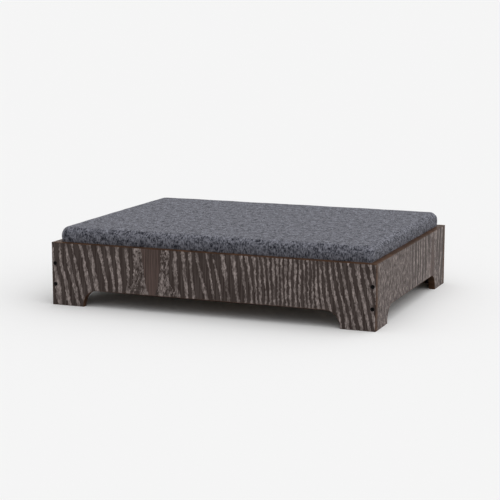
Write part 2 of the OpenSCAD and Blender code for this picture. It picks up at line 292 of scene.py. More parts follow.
def build_ring_streaks():
    """Growth rings where a flat-sawn face cuts them: rough light streaks that lean, round a dark heart."""
    nodes, given, made = shader_group(
        "Ring Streaks",
        {
            "Along": 0,
            "Up": 0,
            "Seed": 0,
            "Wide Ring": 21 * MM,
            "Fine Ring": 10.5 * MM,
            "Late Ring": 16 * MM,
            "Fine From": 105 * MM,
            "Fine To": 290 * MM,
            "Lean": 0.11,
            "Lean Swing": 0.10,
            "Lean Crest": -320 * MM,
            "Lean Period": 340 * MM,
            "Heart": -140 * MM,
            "Heart Half": 19.5 * MM,
            "Heart Taper": 0.12,
            "Up Middle": 95 * MM,
            "Streak Share": 0.0,
        },
        ["Streak", "Heart", "Fibre", "Mottle", "Pores", "Outline", "Brushing"],
    )
    along, up, seed = given["Along"], given["Up"], given["Seed"]

    def grain(across, lengthwise, shift):
        """A point for noise: cells per metre across the streaks and along them."""
        return nodes.stretched((along, up, nodes.total(seed, shift)), (across, lengthwise, 1.0))

    rise = nodes.less(up, given["Up Middle"])
    period = nodes.ratio(nodes.less(along, given["Lean Crest"]), given["Lean Period"])
    lean = nodes.math("COSINE", nodes.product(period, TURN))
    slope = nodes.math("MULTIPLY_ADD", lean, given["Lean Swing"], given["Lean"])
    wobble = nodes.swing(grain(26, 12, 0.0), 12 * MM)
    jag = nodes.swing(grain(190, 85, 5.0), 10.5 * MM, 4.0, 0.65)
    across = nodes.total(nodes.math("MULTIPLY_ADD", slope, rise, along), wobble, jag)

    def ring_step(place, before, after):
        """Rings gained past a place, where the spacing changes."""
        past = nodes.math("SMOOTH_MAX", nodes.less(across, place), 0.0, 50 * MM)
        change = nodes.less(nodes.ratio(1.0, after), nodes.ratio(1.0, before))
        return nodes.product(past, change)

    uneven = nodes.stretched((across, up, nodes.total(seed, 9.0)), (17.0, 3.0, 1.0))
    rings = nodes.total(
        nodes.ratio(across, given["Wide Ring"]),
        ring_step(given["Fine From"], given["Wide Ring"], given["Fine Ring"]),
        ring_step(given["Fine To"], given["Fine Ring"], given["Late Ring"]),
        nodes.swing(uneven, 1.7),
    )
    wave = nodes.math("SINE", nodes.product(rings, TURN))
    width = nodes.swing(grain(34, 9, 13.0), 2.6, 2.0)
    fade = 30 * MM
    fine_from = given["Fine From"]
    in_fine = nodes.ramp(across, nodes.total(fine_from, -fade), nodes.total(fine_from, fade))

    from_heart = nodes.math("ABSOLUTE", nodes.less(across, given["Heart"]))
    heart_half = nodes.math("MULTIPLY_ADD", rise, given["Heart Taper"], given["Heart Half"])
    # the heart closes towards the arch, and the speckled wood beside it is widest there
    heart_half = nodes.product(heart_half, nodes.ramp(up, 18 * MM, 62 * MM))
    outside = nodes.less(from_heart, heart_half)
    heart = nodes.ramp(outside, -1.2 * MM, 1.2 * MM, 1.0, 0.0)
    beyond = nodes.less(outside, nodes.ramp(up, 42 * MM, 78 * MM, 34 * MM, 0.0))
    halo = nodes.ramp(beyond, 16 * MM, 34 * MM, 1.0, 0.0)
    speckle = nodes.product(nodes.swing(grain(250, 95, 51.0), 6.0, 3.0, 0.75), halo)

    level = nodes.total(
        nodes.product(wave, nodes.ramp(halo, 0.0, 1.0, 1.0, 0.3)),
        width,
        nodes.product(halo, 0.7),
        speckle,
        nodes.product(heart, -9.0),
        nodes.product(in_fine, 0.3),
        given["Streak Share"],
    )
    rough = nodes.swing(grain(300, 110, 27.0), 1.5, 3.0, 0.7)
    fading = nodes.ramp(nodes.noise(grain(55, 22, 61.0), 1.0, 3.0, 0.6), 0.36, 0.58, 0.55, 1.0)
    streak = nodes.ramp(nodes.total(level, rough), -0.25, 0.5)
    nodes.feed(made["Streak"], nodes.product(streak, fading))
    nodes.feed(made["Heart"], heart)
    nodes.feed(made["Outline"], nodes.ramp(level, -0.95, -0.35))

    def texture(output, point, detail, roughness, *steps):
        """Noise along the grain, through a smooth step, as one of the outputs."""
        nodes.feed(made[output], nodes.ramp(nodes.noise(point, 1.0, detail, roughness), *steps))

    texture("Brushing", grain(430, 16, 71.0), 3.0, 0.6, 0.34, 0.58, 0.5, 1.12)
    texture("Fibre", grain(340, 9, 31.0), 3.0, 0.6, 0.3, 0.7)
    texture("Mottle", grain(170, 80, 41.0), 3.0, 0.75, 0.36, 0.64)
    texture("Pores", grain(620, 110, 21.0), 4.0, 0.65, 0.44, 0.60)


def build_melange_weave():
    """Plain weave of slubbed, mixed-tone yarns, given in metres across and along the cloth."""
    nodes, given, made = shader_group(
        "Melange Weave",
        {"Across": 0, "Along": 0, "Pitch": 1.7 * MM, "Slub": 9 * MM, "Seed": 0, "Warp Share": 0.5},
        ["Tone", "Height"],
    )
    seed = given["Seed"]

    def yarns(over, lengthwise, shift):
        """Tone and roundness of one set of yarns."""
        count = nodes.ratio(over, given["Pitch"])
        number = nodes.math("FLOOR", count)
        slubs = nodes.ratio(lengthwise, given["Slub"])
        place = nodes.stretched((number, slubs, nodes.total(seed, shift)), (7.31, 1.0, 1.0))
        tone = nodes.noise(place, 1.0, 2.0, 0.6)
        middle = nodes.math("ABSOLUTE", nodes.less(nodes.math("FRACT", count), 0.5))
        fall = nodes.math("POWER", middle, 2.0)
        return number, tone, nodes.math("SQRT", nodes.less(0.27, fall))

    warp_number, warp_tone, warp_round = yarns(given["Across"], given["Along"], 0.0)
    weft_number, weft_tone, weft_round = yarns(given["Along"], given["Across"], 50.0)
    crossing = nodes.math("MODULO", nodes.math("ABSOLUTE", nodes.total(warp_number, weft_number)), 2.0)
    warp_on_top = nodes.math("GREATER_THAN", crossing, 0.5)

    def shared(share, first, second):
        """The first value for the given share, and the second for the rest."""
        rest = nodes.less(1.0, share)
        return nodes.total(nodes.product(share, first), nodes.product(rest, second))

    def flecks(across_cell, along_cell, reach, shift):
        """Mixed-tone clumps of the given size, about zero."""
        across = nodes.ratio(given["Across"], across_cell)
        along = nodes.ratio(given["Along"], along_cell)
        return nodes.swing(nodes.point(across, along, nodes.total(seed, shift)), reach, 2.0, 0.6)

    on_top = shared(warp_on_top, warp_tone, weft_tone)
    mixed = shared(given["Warp Share"], warp_tone, weft_tone)
    tone = nodes.total(
        nodes.product(nodes.total(on_top, mixed), 0.3),
        0.2,
        flecks(3.2 * MM, given["Slub"], 0.80, 20.0),
        flecks(11 * MM, 12 * MM, 0.46, 30.0),
        flecks(16 * MM, 22 * MM, 0.36, 40.0),
    )
    nodes.feed(made["Tone"], nodes.ramp(tone, 0.30, 0.70))
    nodes.feed(made["Height"], shared(warp_on_top, warp_round, weft_round))


def build_sawn_grain():
    """Straight timber grain: rings that run the length of the piece, with fine fibres."""
    inputs = {"Lengthwise": 0, "Across": 0, "Up": 0, "Ring": 4 * MM, "Seed": 0}
    nodes, given, made = shader_group("Sawn Grain", inputs, ["Ring", "Fibre"])
    places = (given["Lengthwise"], given["Across"], given["Seed"])
    bend = nodes.swing(nodes.stretched(places, (3.0, 30.0, 1.0)), 12 * MM)
    depth = nodes.math("POWER", nodes.total(given["Up"], 30 * MM), 2.0)
    side = nodes.math("POWER", nodes.total(given["Across"], bend), 2.0)
    radius = nodes.math("SQRT", nodes.total(depth, side))
    saw = nodes.math("FRACT", nodes.ratio(radius, given["Ring"]))
    nodes.feed(made["Ring"], nodes.ramp(saw, 0.1, 0.95))
    places = (given["Lengthwise"], given["Across"], given["Up"])
    nodes.feed(made["Fibre"], nodes.noise(nodes.stretched(places, (30.0, 900.0, 900.0)), 1.0, 3.0, 0.6))


def build_handling_wear():
    """Faint scuffs and dust on a hard finish: a share for the roughness and a share for the colour."""
    nodes, _, made = shader_group("Handling Wear", {}, ["Scuff", "Dust"])
    place = nodes.place()
    nodes.feed(made["Scuff"], nodes.ramp(nodes.noise(place, 90.0, 4.0, 0.7), 0.35, 0.7))
    nodes.feed(made["Dust"], nodes.ramp(nodes.noise(place, 14.0, 5.0, 0.75), 0.5, 0.8))


# ---------------------------------------------------------------- materials


def new_material(name):
    """An empty material: itself, its nodes and its Principled BSDF."""
    material = bpy.data.materials.new(name)
    material.use_nodes = True
    material.node_tree.nodes.clear()
    nodes = Nodes(material.node_tree)
    shader = nodes.add("ShaderNodeBsdfPrincipled")
    nodes.add("ShaderNodeOutputMaterial", {"Surface": shader.outputs[0]})
    return material, nodes, shader.inputs


def surface(nodes, shader, colour, roughness, height=None, depth=0.0, strength=1.0, **looks):
    """Joins up the shader. height gives relief of the given depth in metres; looks are other inputs."""
    nodes.feed(shader["Base Color"], colour)
    nodes.feed(shader["Roughness"], roughness)
    for key, value in looks.items():
        nodes.feed(shader[key.replace("_", " ")], value)
    if height is not None:
        relief = nodes.add("ShaderNodeBump", {"Height": height, "Distance": depth, "Strength": strength})
        nodes.feed(shader["Normal"], relief.outputs["Normal"])


def laminate(name, along_axis, seed, streaks, flecks_only_before=None):
    """Wood-grain laminate for one panel. along_axis is 0 or 1; streaks are inputs of Ring Streaks.
    Before the first place of flecks_only_before the streaks thin to flecks; from the second they are whole."""
    board = settings("board")
    material, nodes, shader = new_material(name)
    placed = nodes.placed()
    along, up = placed[along_axis], placed[2]
    depth = nodes.product(placed[1 - along_axis], 23.0)
    made = use_group(nodes, "Ring Streaks", Along=along, Up=up, Seed=nodes.total(depth, seed), **streaks)
    dark = nodes.mix(made["Fibre"], board.late_wood_deep, board.late_wood)
    dark = nodes.mix(nodes.product(made["Outline"], 0.55), dark, board.late_wood_deep)
    glow = nodes.product(made["Heart"], nodes.ramp(made["Fibre"], 0.0, 1.0, 0.15, 0.95))
    dark = nodes.mix(glow, dark, board.heart_wood)
    light = nodes.mix(made["Mottle"], board.early_wood_grey, board.early_wood)
    streak = made["Streak"]
    if flecks_only_before is not None:
        start, end = flecks_only_before
        clear = nodes.ramp(along, start, end, 0.35, 1.0)
        grain = nodes.stretched((along, up, seed + 3.0), (150.0, 62.0, 1.0))
        fleck = nodes.noise(grain, 1.0, 4.0, 0.7)
        short = nodes.product(nodes.ramp(fleck, 0.41, 0.60), nodes.ramp(clear, 0.35, 1.0, 0.85, 0.15))
        streak = nodes.math("MAXIMUM", nodes.product(streak, clear), short)
    streak = nodes.product(streak, nodes.ramp(made["Pores"], 0.0, 1.0, 1.0, 0.42), made["Brushing"])
    wear = use_group(nodes, "Handling Wear")
    colour = nodes.mix(streak, dark, light)
    rough = nodes.total(nodes.product(streak, 0.12), nodes.product(wear["Scuff"], 0.06), 0.46)
    fibres, pores = nodes.product(made["Fibre"], 0.25), nodes.product(made["Pores"], -0.3)
    height = nodes.total(nodes.product(streak, -0.6), fibres, pores)
    surface(nodes, shader, colour, rough, height, 0.12 * MM, 0.8, Specular_IOR_Level=0.05)
    return material


def front_laminate(name, seed, mirrored=False):
    """The long panels' laminate, with the heart of the rings in view."""
    board = settings("board")
    streaks = {
        "Wide_Ring": board.wide_ring,
        "Fine_Ring": board.fine_ring,
        "Late_Ring": board.late_ring,
        "Heart": board.heart_place,
        "Streak_Share": -0.35,
    }
    if mirrored:
        streaks.update({"Heart": -board.heart_place, "Lean": -0.08, "Lean_Crest": 50 * MM})
    return laminate(name, 0, seed, streaks)


def end_laminate(name, seed, lean):
    """The end panels' laminate: short flecks towards the front, clear streaks towards the back."""
    streaks = {
        "Wide_Ring": 12 * MM,
        "Fine_Ring": 22 * MM,
        "Late_Ring": 27 * MM,
        "Fine_From": -60 * MM,
        "Fine_To": 90 * MM,
        "Heart": 182 * MM,
        "Heart_Half": 14 * MM,
        "Heart_Taper": -0.22,
        "Lean": lean,
        "Lean_Swing": 0.04,
        "Lean_Crest": 160 * MM,
        "Lean_Period": 500 * MM,
        "Streak_Share": -0.45,
    }
    return laminate(name, 1, seed, streaks, flecks_only_before=(-70 * MM, 10 * MM))


def edge_banding():
    """Brown plastic edge band, a little paler in fine lines along its length."""
    board = settings("board")
    material, nodes, shader = new_material("edge_band_plastic")
    lines = nodes.noise(nodes.stretched(nodes.placed(), (26.0, 26.0, 60.0)), 1.0, 4.0, 0.65)
    deep = tinted(board.band_brown, 0.55)
    wear = use_group(nodes, "Handling Wear")
    colour = nodes.mix(nodes.ramp(lines, 0.35, 0.65), deep, board.band_brown)
    rough = nodes.total(nodes.product(wear["Scuff"], 0.15), 0.42)
    surface(nodes, shader, colour, rough, lines, 0.05 * MM, 0.6, Specular_IOR_Level=0.1)
    return material


def pine(name, lengthwise_axis, seed):
    """Planed pine for a cleat or the rail, with the grain along the given axis."""
    timber = settings("timber")
    material, nodes, shader = new_material(name)
    placed = nodes.placed()
    along, across = placed[lengthwise_axis], placed[1 - lengthwise_axis]
    places = {"Lengthwise": along, "Across": across, "Up": placed[2]}
    made = use_group(nodes, "Sawn Grain", Ring=3.4 * MM, Seed=seed, **places)
    wood = nodes.mix(nodes.product(made["Ring"], 0.75), timber.pine, timber.pine_ring)
    fine = nodes.mix(nodes.ramp(made["Fibre"], 0.3, 0.7, 0.0, 0.35), wood, timber.pine_ring)
    rough = nodes.total(nodes.product(made["Fibre"], 0.2), 0.5)
    surface(nodes, shader, fine, rough, nodes.total(made["Fibre"], made["Ring"]), 0.08 * MM)
    return material


def fibre_board():
    """Hard fibre board: matted dark and light fibres with a smooth, slightly waxy face."""
    timber = settings("timber")
    material, nodes, shader = new_material("base_fibre_board")
    place = nodes.place()
    mat = nodes.noise(place, 700.0, 4.0, 0.75)
    cloud = nodes.noise(place, 18.0, 3.0, 0.6)
    deep = tinted(timber.fibre_board, 0.5)
    share = nodes.ramp(nodes.total(nodes.product(mat, 0.7), nodes.product(cloud, 0.3)), 0.35, 0.62)
    colour = nodes.mix(share, deep, timber.fibre_board)
    surface(nodes, shader, colour, nodes.total(nodes.product(mat, 0.25), 0.45), mat, 0.06 * MM)
    return material


def screw_metal(name, tint, roughness, bare=0.9, gloss=0.5):
    """Coated steel with fine turning marks and worn spots; bare is its metallic share."""
    material, nodes, shader = new_material(name)
    place = nodes.place()
    wear = use_group(nodes, "Handling Wear")
    marks = nodes.noise(place, 2600.0, 2.0)
    worn = nodes.mix(nodes.product(wear["Scuff"], 0.5), tint, tinted(tint, 1.6))
    rough = nodes.total(nodes.product(marks, 0.2), roughness)
    surface(nodes, shader, worn, rough, marks, 0.02 * MM, Metallic=bare, Specular_IOR_Level=gloss)
    return material


def woven(name, dark, light, pitch, slub, seed, uses_uv=False, warp_share=0.5, depth=0.35 * MM):
    """A mixed-yarn cloth. With uses_uv it follows the piece's own map, in metres; depth is its relief."""
    material, nodes, shader = new_material(name)
    if uses_uv:
        placed = nodes.axes(nodes.add("ShaderNodeUVMap", uv_map=CLOTH_MAP).outputs[0])
    else:
        placed = nodes.placed()
    yarns = {
        "Across": placed[0],
        "Along": placed[1] if uses_uv else nodes.total(placed[1], placed[2]),
        "Pitch": pitch,
        "Slub": slub,
        "Seed": seed,
        "Warp_Share": warp_share,
    }
    made = use_group(nodes, "Melange Weave", **yarns)
    shadow = nodes.ramp(made["Height"], 0.05, 0.5, 0.55, 0.0)
    colour = nodes.mix(shadow, nodes.mix(made["Tone"], dark, light), dark)
    rough = nodes.total(nodes.product(made["Tone"], 0.1), 0.85)
    looks = {"Specular_IOR_Level": 0.15, "Sheen_Weight": 0.08, "Sheen_Roughness": 0.5}
    surface(nodes, shader, colour, rough, made["Height"], depth, 0.9, **looks)
    return material


def open_cell_foam():
    """Cream foam with fine open cells; each cell is painted darker in its hollow middle, as painted shade in
    the pores.
    """
    cream = settings("mattress").foam_cream
    material, nodes, shader = new_material("open_cell_foam")
    place = nodes.place()
    cells = nodes.add("ShaderNodeTexVoronoi", {"Vector": place, "Scale": 750.0}).outputs["Distance"]
    cloud = nodes.noise(place, 25.0, 3.0)
    # darker at each cell's hollow middle: painted shade in the pores; the cloud is the foam's own uneven tone
    share = nodes.total(nodes.ramp(cells, 0.1, 0.6, 0.0, 0.8), nodes.product(cloud, 0.2))
    colour = nodes.mix(share, tinted(cream, 0.62), cream)
    surface(nodes, shader, colour, nodes.total(nodes.product(cells, 0.1), 0.88), cells, 0.4 * MM)
    return material


def teeth_plastic():
    """Moulded zipper teeth, black with a soft gloss."""
    material, nodes, shader = new_material("zip_teeth_plastic")
    wear = use_group(nodes, "Handling Wear")
    dust = nodes.product(wear["Dust"], 0.5)
    colour = nodes.mix(dust, (0.022, 0.022, 0.025), (0.06, 0.06, 0.065))
    surface(nodes, shader, colour, nodes.total(nodes.product(wear["Scuff"], 0.15), 0.3))
    return material


# ---------------------------------------------------------------- geometry trees and mesh helpers


def geometry_tree(name, inputs):
    """A new geometry tree with named inputs: its nodes, what it is given, and a function that ends it."""
    tree = bpy.data.node_groups.new(name, "GeometryNodeTree")
    tree.interface.new_socket("Geometry", in_out="INPUT", socket_type="NodeSocketGeometry")
    for label, (kind, value) in inputs.items():
        socket = tree.interface.new_socket(label, in_out="INPUT", socket_type="NodeSocket" + kind)
        if value is not None:
            socket.default_value = value
    tree.interface.new_socket("Material", in_out="INPUT", socket_type="NodeSocketMaterial")
    tree.interface.new_socket("Geometry", in_out="OUTPUT", socket_type="NodeSocketGeometry")
    nodes = Nodes(tree)
    given = nodes.add("NodeGroupInput").outputs

    def end(geometry):
        real = nodes.add("GeometryNodeRealizeInstances", {"Geometry": geometry})
        paint = {"Geometry": real.outputs[0], "Material": given["Material"]}
        painted = nodes.add("GeometryNodeSetMaterial", paint)
        nodes.add("NodeGroupOutput", {"Geometry": painted.outputs[0]})

    return nodes, given, end


def instances(nodes, points, shape, rotation):
    """Places an object at every point, turned by the rotation."""
    info = nodes.add("GeometryNodeObjectInfo", {"Object": shape})
    inputs = {"Points": points, "Instance": info.outputs["Geometry"], "Rotation": rotation}
    return nodes.add("GeometryNodeInstanceOnPoints", inputs).outputs[0]


def build_strip_tree():
    """A flat strip with eased arrises, drawn along the path's edges."""
    inputs = {
        "Width": ("Float", 16 * MM),
        "Thickness": ("Float", 1 * MM),
        "Easing": ("Float", 0.4 * MM),
        "Width Axis": ("Vector", (0, 1, 0)),
        "Smooth": ("Bool", False),
    }
    nodes, given, end = geometry_tree("Strip Along Path", inputs)
    path = nodes.add("GeometryNodeMeshToCurve", {"Mesh": given["Geometry"]})
    facing = {"Curve": path.outputs[0], "Normal": given["Width Axis"]}
    turned = nodes.add("GeometryNodeSetCurveNormal", facing, mode="FREE")
    profile = nodes.add(
        "GeometryNodeCurvePrimitiveQuadrilateral", {"Width": given["Width"], "Height": given["Thickness"]}
    )
    eased = nodes.add(
        "GeometryNodeFilletCurve",
        {"Curve": profile.outputs[0], "Radius": given["Easing"], "Limit Radius": True, "Count": 3},
        mode="POLY",
    )
    strip = nodes.add(
        "GeometryNodeCurveToMesh",
        {"Curve": turned.outputs[0], "Profile Curve": eased.outputs[0], "Fill Caps": True},
    )
    shading = {"Geometry": strip.outputs[0], "Shade Smooth": given["Smooth"]}
    end(nodes.add("GeometryNodeSetShadeSmooth", shading).outputs[0])


def build_screw_tree():
    """A screw at every point, its head facing the point's own way, with the drive turned at random."""
    nodes, given, end = geometry_tree("Screws At Points", {"Screw": ("Object", None), "Seed": ("Int", 7)})
    facing = nodes.add("GeometryNodeInputNamedAttribute", {"Name": "facing"}, data_type="FLOAT_VECTOR")
    aligned = nodes.add("FunctionNodeAlignRotationToVector", {"Vector": facing.outputs[0]}, axis="Z")
    spin = nodes.add("FunctionNodeRandomValue", {"Seed": given["Seed"]}, data_type="FLOAT")
    nodes.feed(spin.inputs[3], TURN)
    turn = nodes.add("FunctionNodeAxisAngleToRotation", {"Axis": (0, 0, 1), "Angle": spin.outputs[1]})
    turned = nodes.add(
        "FunctionNodeRotateRotation",
        {"Rotation": aligned.outputs[0], "Rotate By": turn.outputs[0]},
        rotation_space="LOCAL",
    )
    end(instances(nodes, given["Geometry"], given["Screw"], turned.outputs[0]))


def build_row_tree():
    """A small shape repeated along the path's edges at an even pitch, each one along the path."""
    inputs = {"Shape": ("Object", None), "Pitch": ("Float", 3 * MM)}
    nodes, given, end = geometry_tree("Row Along Path", inputs)
    path = nodes.add("GeometryNodeMeshToCurve", {"Mesh": given["Geometry"]})
    spacing = {"Curve": path.outputs[0], "Length": given["Pitch"]}
    even = nodes.add("GeometryNodeCurveToPoints", spacing, mode="LENGTH").outputs
    aligned = nodes.add("FunctionNodeAlignRotationToVector", {"Vector": even["Tangent"]}, axis="X")
    end(instances(nodes, even["Points"], given["Shape"], aligned.outputs[0]))


def new_piece(name, points, edges=(), faces=()):
    """A mesh object in the scene."""
    mesh = bpy.data.meshes.new(name)
    mesh.from_pydata(*([tuple(item) for item in items] for items in (points, edges, faces)))
    piece = bpy.data.objects.new(name, mesh)
    bpy.context.scene.collection.objects.link(piece)
    return piece


def keep_evaluated(piece):
    """Turns what the piece's modifiers make into its plain mesh."""
    depsgraph = bpy.context.evaluated_depsgraph_get()
    made = bpy.data.meshes.new_from_object(piece.evaluated_get(depsgraph), depsgraph=depsgraph)
    piece.modifiers.clear()
    piece.data = made
    return piece


def grow(piece, tree_name, inputs):
    """Runs a geometry tree on the piece and keeps the result."""
    tree = bpy.data.node_groups[tree_name]
    modifier = piece.modifiers.new(tree_name, "NODES")
    modifier.node_group = tree
    for item in tree.interface.items_tree:
        if item.in_out == "INPUT" and item.name in inputs:
            modifier[item.identifier] = inputs[item.name]
    return keep_evaluated(piece)


def draw_strip(piece, width, thickness, easing, width_axis, material, smooth=False):
    """Draws a flat strip along the piece's edges, its width along the given axis, 0 to 2."""
    inputs = {
        "Width": width,
        "Thickness": thickness,
        "Easing": easing,
        "Width Axis": tuple(float(axis == width_axis) for axis in range(3)),
        "Smooth": smooth,
        "Material": material,
    }
    return grow(piece, "Strip Along Path", inputs)


def draw_row(piece, shape, pitch, material):
    """Repeats the shape along the piece's edges."""
    return grow(piece, "Row Along Path", {"Shape": shape, "Pitch": pitch, "Material": material})


def finish_piece(piece, body, replaced=(), smooth_angle=None):
    """Rides the piece on its body and hides the CAD parts that it replaces."""
    if not piece.data.polygons:
        raise RuntimeError(piece.name + " came out empty")
    if smooth_angle is not None:
        piece.data.shade_smooth()
        piece.data.set_sharp_from_angle(angle=smooth_angle)
    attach(piece, body)
    if replaced:
        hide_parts(*replaced)
    return piece


def paint_node(node, material):
    """Gives a CAD node its finish."""
    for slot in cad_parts[node].material_slots:
        slot.material = material


def chain(paths):
    """Points and edges of several open paths."""
    points, edges = [], []
    for path in paths:
        first = len(points)
        points.extend(path)
        edges.extend((first + i, first + i + 1) for i in range(len(path) - 1))
    return points, edges


def closed(points):
    """The edges that join the points into a loop."""
    return [(i, (i + 1) % len(points)) for i in range(len(points))]


def lathe(name, rings, sides=24, outline=None):
    """A closed turned shape along Z. Each ring is (radius, height), or (radius, height, True) where the
    radius follows outline(angle), as in a drive socket. The first and last rings close to a point."""
    points = [(0, 0, rings[0][1])]
    for radius, height, *follows in rings:
        for i in range(sides):
            angle = TURN * i / sides
            reach = radius * (outline(angle) if follows else 1.0)
            points.append((reach * math.cos(angle), reach * math.sin(angle), height))
    points.append((0, 0, rings[-1][1]))
    last = len(points) - 1
    faces = [(0, 1 + (i + 1) % sides, 1 + i) for i in range(sides)]
    for ring in range(len(rings) - 1):
        low, high = 1 + ring * sides, 1 + (ring + 1) * sides
        for i in range(sides):
            after = (i + 1) % sides
            faces.append((low + i, low + after, high + after, high + i))
    top = 1 + (len(rings) - 1) * sides
    faces.extend((top + i, top + (i + 1) % sides, last) for i in range(sides))
    return new_piece(name, points, faces=faces)


def rounded_box(name, low, high, radius, steps=5, upright=None, under=None):
    """A closed box with its edges and corners rounded. Given upright, the upright edges have a radius of
    their own, and under is then the radius round the bottom."""
    shape = bmesh.new()
    bmesh.ops.create_cube(shape, size=1.0)
    size, middle = Vector(high) - Vector(low), (Vector(high) + Vector(low)) / 2
    placing = Matrix.Translation(middle) @ Matrix.Diagonal((*size, 1))
    bmesh.ops.transform(shape, matrix=placing, verts=shape.verts)

    def bevel(geometry, offset):
        bmesh.ops.bevel(shape, geom=geometry, offset=offset, segments=steps, profile=0.5, affect="EDGES")

    if upright is None:
        bevel(shape.edges[:] + shape.verts[:], radius)
    else:
        standing = [edge for edge in shape.edges if abs(edge.verts[0].co.z - edge.verts[1].co.z) > radius]
        bevel(standing, upright)
        for height, rim_radius in ((high[2], radius), (low[2], under)):
            at_height = {v for v in shape.verts if abs(v.co.z - height) < SAME_PLACE}
            bevel([edge for edge in shape.edges if set(edge.verts) <= at_height], rim_radius)
    piece = new_piece(name, [])
    shape.to_mesh(piece.data)
    shape.free()
    return piece


def joined(name, parts):
    """One mesh object made of several, whose objects it removes."""
    shape = bmesh.new()
    for part in parts:
        shape.from_mesh(part.data)
    piece = new_piece(name, [])
    shape.to_mesh(piece.data)
    shape.free()
    discard(*parts)
    return piece


def discard(*pieces):
    """Removes helper objects and their meshes."""
    for piece in pieces:
        mesh = piece.data
        bpy.data.objects.remove(piece)
        bpy.data.meshes.remove(mesh)


def solids_of(node):
    """The lowest and highest corner of each separate solid in a CAD node."""
    shape = bmesh.new()
    shape.from_mesh(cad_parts[node].data)
    bmesh.ops.remove_doubles(shape, verts=shape.verts, dist=SAME_PLACE)
    seen, boxes = set(), []
    for start in shape.verts:
        if start in seen:
            continue
        seen.add(start)
        found, waiting = [], [start]
        while waiting:
            vertex = waiting.pop()
            found.append(vertex.co.copy())
            for edge in vertex.link_edges:
                other = edge.other_vert(vertex)
                if other not in seen:
                    seen.add(other)
                    waiting.append(other)
        spots = np.array(found)
        boxes.append((Vector(spots.min(axis=0)), Vector(spots.max(axis=0))))
    shape.free()
    return boxes


def smooth_step(value, low, high):
    share = np.clip((value - low) / (high - low), 0, 1)
    return share * share * (3 - 2 * share)


# ---------------------------------------------------------------- operators


class DOGBED_OT_stage(bpy.types.Operator):
    """Pale floor, soft studio light and the camera"""

    bl_idname = "dog_bed.stage"
    bl_label = "Stage"

    FLOOR_REACH = 400.0
    CAMERA_REACH = 2000.0

    def execute(self, context):
        stage = settings("stage")
        self.floor(stage)
        self.world(context.scene, stage)
        self.camera(context.scene, stage)
        context.scene.view_settings.view_transform = "Standard"
        return {"FINISHED"}

    def floor(self, stage):
        """A wide floor that bounces less light back up than it shows."""
        reach = self.FLOOR_REACH
        corners = [(-reach, -reach, 0), (reach, -reach, 0), (reach, reach, 0), (-reach, reach, 0)]
        floor = new_piece("studio_floor", corners, faces=[(0, 1, 2, 3)])
        material = bpy.data.materials.new("studio_floor_paint")
        material.use_nodes = True
        material.node_tree.nodes.clear()
        nodes = Nodes(material.node_tree)
        bright, quiet = (
            nodes.add("ShaderNodeBsdfDiffuse", {"Color": (level, level, level, 1)}).outputs[0]
            for level in (stage.paint, stage.bounce)
        )
        ray = nodes.add("ShaderNodeLightPath").outputs["Is Diffuse Ray"]
        both = nodes.add("ShaderNodeMixShader", {0: ray, 1: bright, 2: quiet})
        nodes.add("ShaderNodeOutputMaterial", {"Surface": both.outputs[0]})
        floor.data.materials.append(material)

    def world(self, scene, stage):
        """A dome that is brightest overhead and to the right, seen as an even pale backdrop."""
        falloff, fill = stage.dome_falloff, stage.dome_fill
        world = bpy.data.worlds.new("studio_dome")
        world.use_nodes = True
        world.node_tree.nodes.clear()
        nodes = Nodes(world.node_tree)
        direction = nodes.axes(nodes.add("ShaderNodeTexCoord").outputs["Generated"])
        overhead = nodes.math("POWER", nodes.math("MAXIMUM", direction[2], 0.0), falloff)
        side = nodes.math("MULTIPLY_ADD", direction[0], stage.dome_right, 1.0)
        # the upward light of a dome of cos^n is 2 pi / (n + 2), and a white floor then shows 2 / (n + 2)
        shaped = nodes.product(overhead, side, (1 - fill) * (falloff + 2) / 2)
        light, pale = (
            nodes.add("ShaderNodeBackground", {"Color": (1, 1, 1, 1), "Strength": strength}).outputs[0]
            for strength in (nodes.total(shaped, fill), stage.pale)
        )
        ray = nodes.add("ShaderNodeLightPath").outputs
        seen = nodes.math("MAXIMUM", ray["Is Camera Ray"], ray["Is Glossy Ray"])
        both = nodes.add("ShaderNodeMixShader", {0: seen, 1: light, 2: pale})
        nodes.add("ShaderNodeOutputWorld", {"Surface": both.outputs[0]})
        scene.world = world

    def camera(self, scene, stage):
        """Aims at the bed's middle, a little towards its front."""
        turn, tilt = stage.azimuth, stage.elevation
        flat = math.cos(tilt)
        back = Vector((math.sin(turn) * flat, -math.cos(turn) * flat, math.sin(tilt)))
        data = bpy.data.cameras.new("camera")
        data.lens = stage.lens
        data.clip_end = self.CAMERA_REACH
        camera = bpy.data.objects.new("camera", data)
        camera.location = Vector((0, -stage.aim_forward, stage.aim_height)) + back * stage.distance
        camera.rotation_euler = back.to_track_quat("Z", "Y").to_euler()
        scene.collection.objects.link(camera)
        scene.camera = camera


class DOGBED_OT_panels(bpy.types.Operator):
    """Laminate on the four panels"""

    bl_idname = "dog_bed.panels"
    bl_label = "Panels"

    def execute(self, context):
        build_ring_streaks()
        build_handling_wear()
        paint_node("front_panel", front_laminate("laminate_front", 0.0))
        paint_node("back_panel", front_laminate("laminate_back", 40.0, mirrored=True))
        paint_node("right_end_panel", end_laminate("laminate_right", 80.0, -0.04))
        paint_node("left_end_panel", end_laminate("laminate_left", 120.0, 0.05))
        return {"FINISHED"}


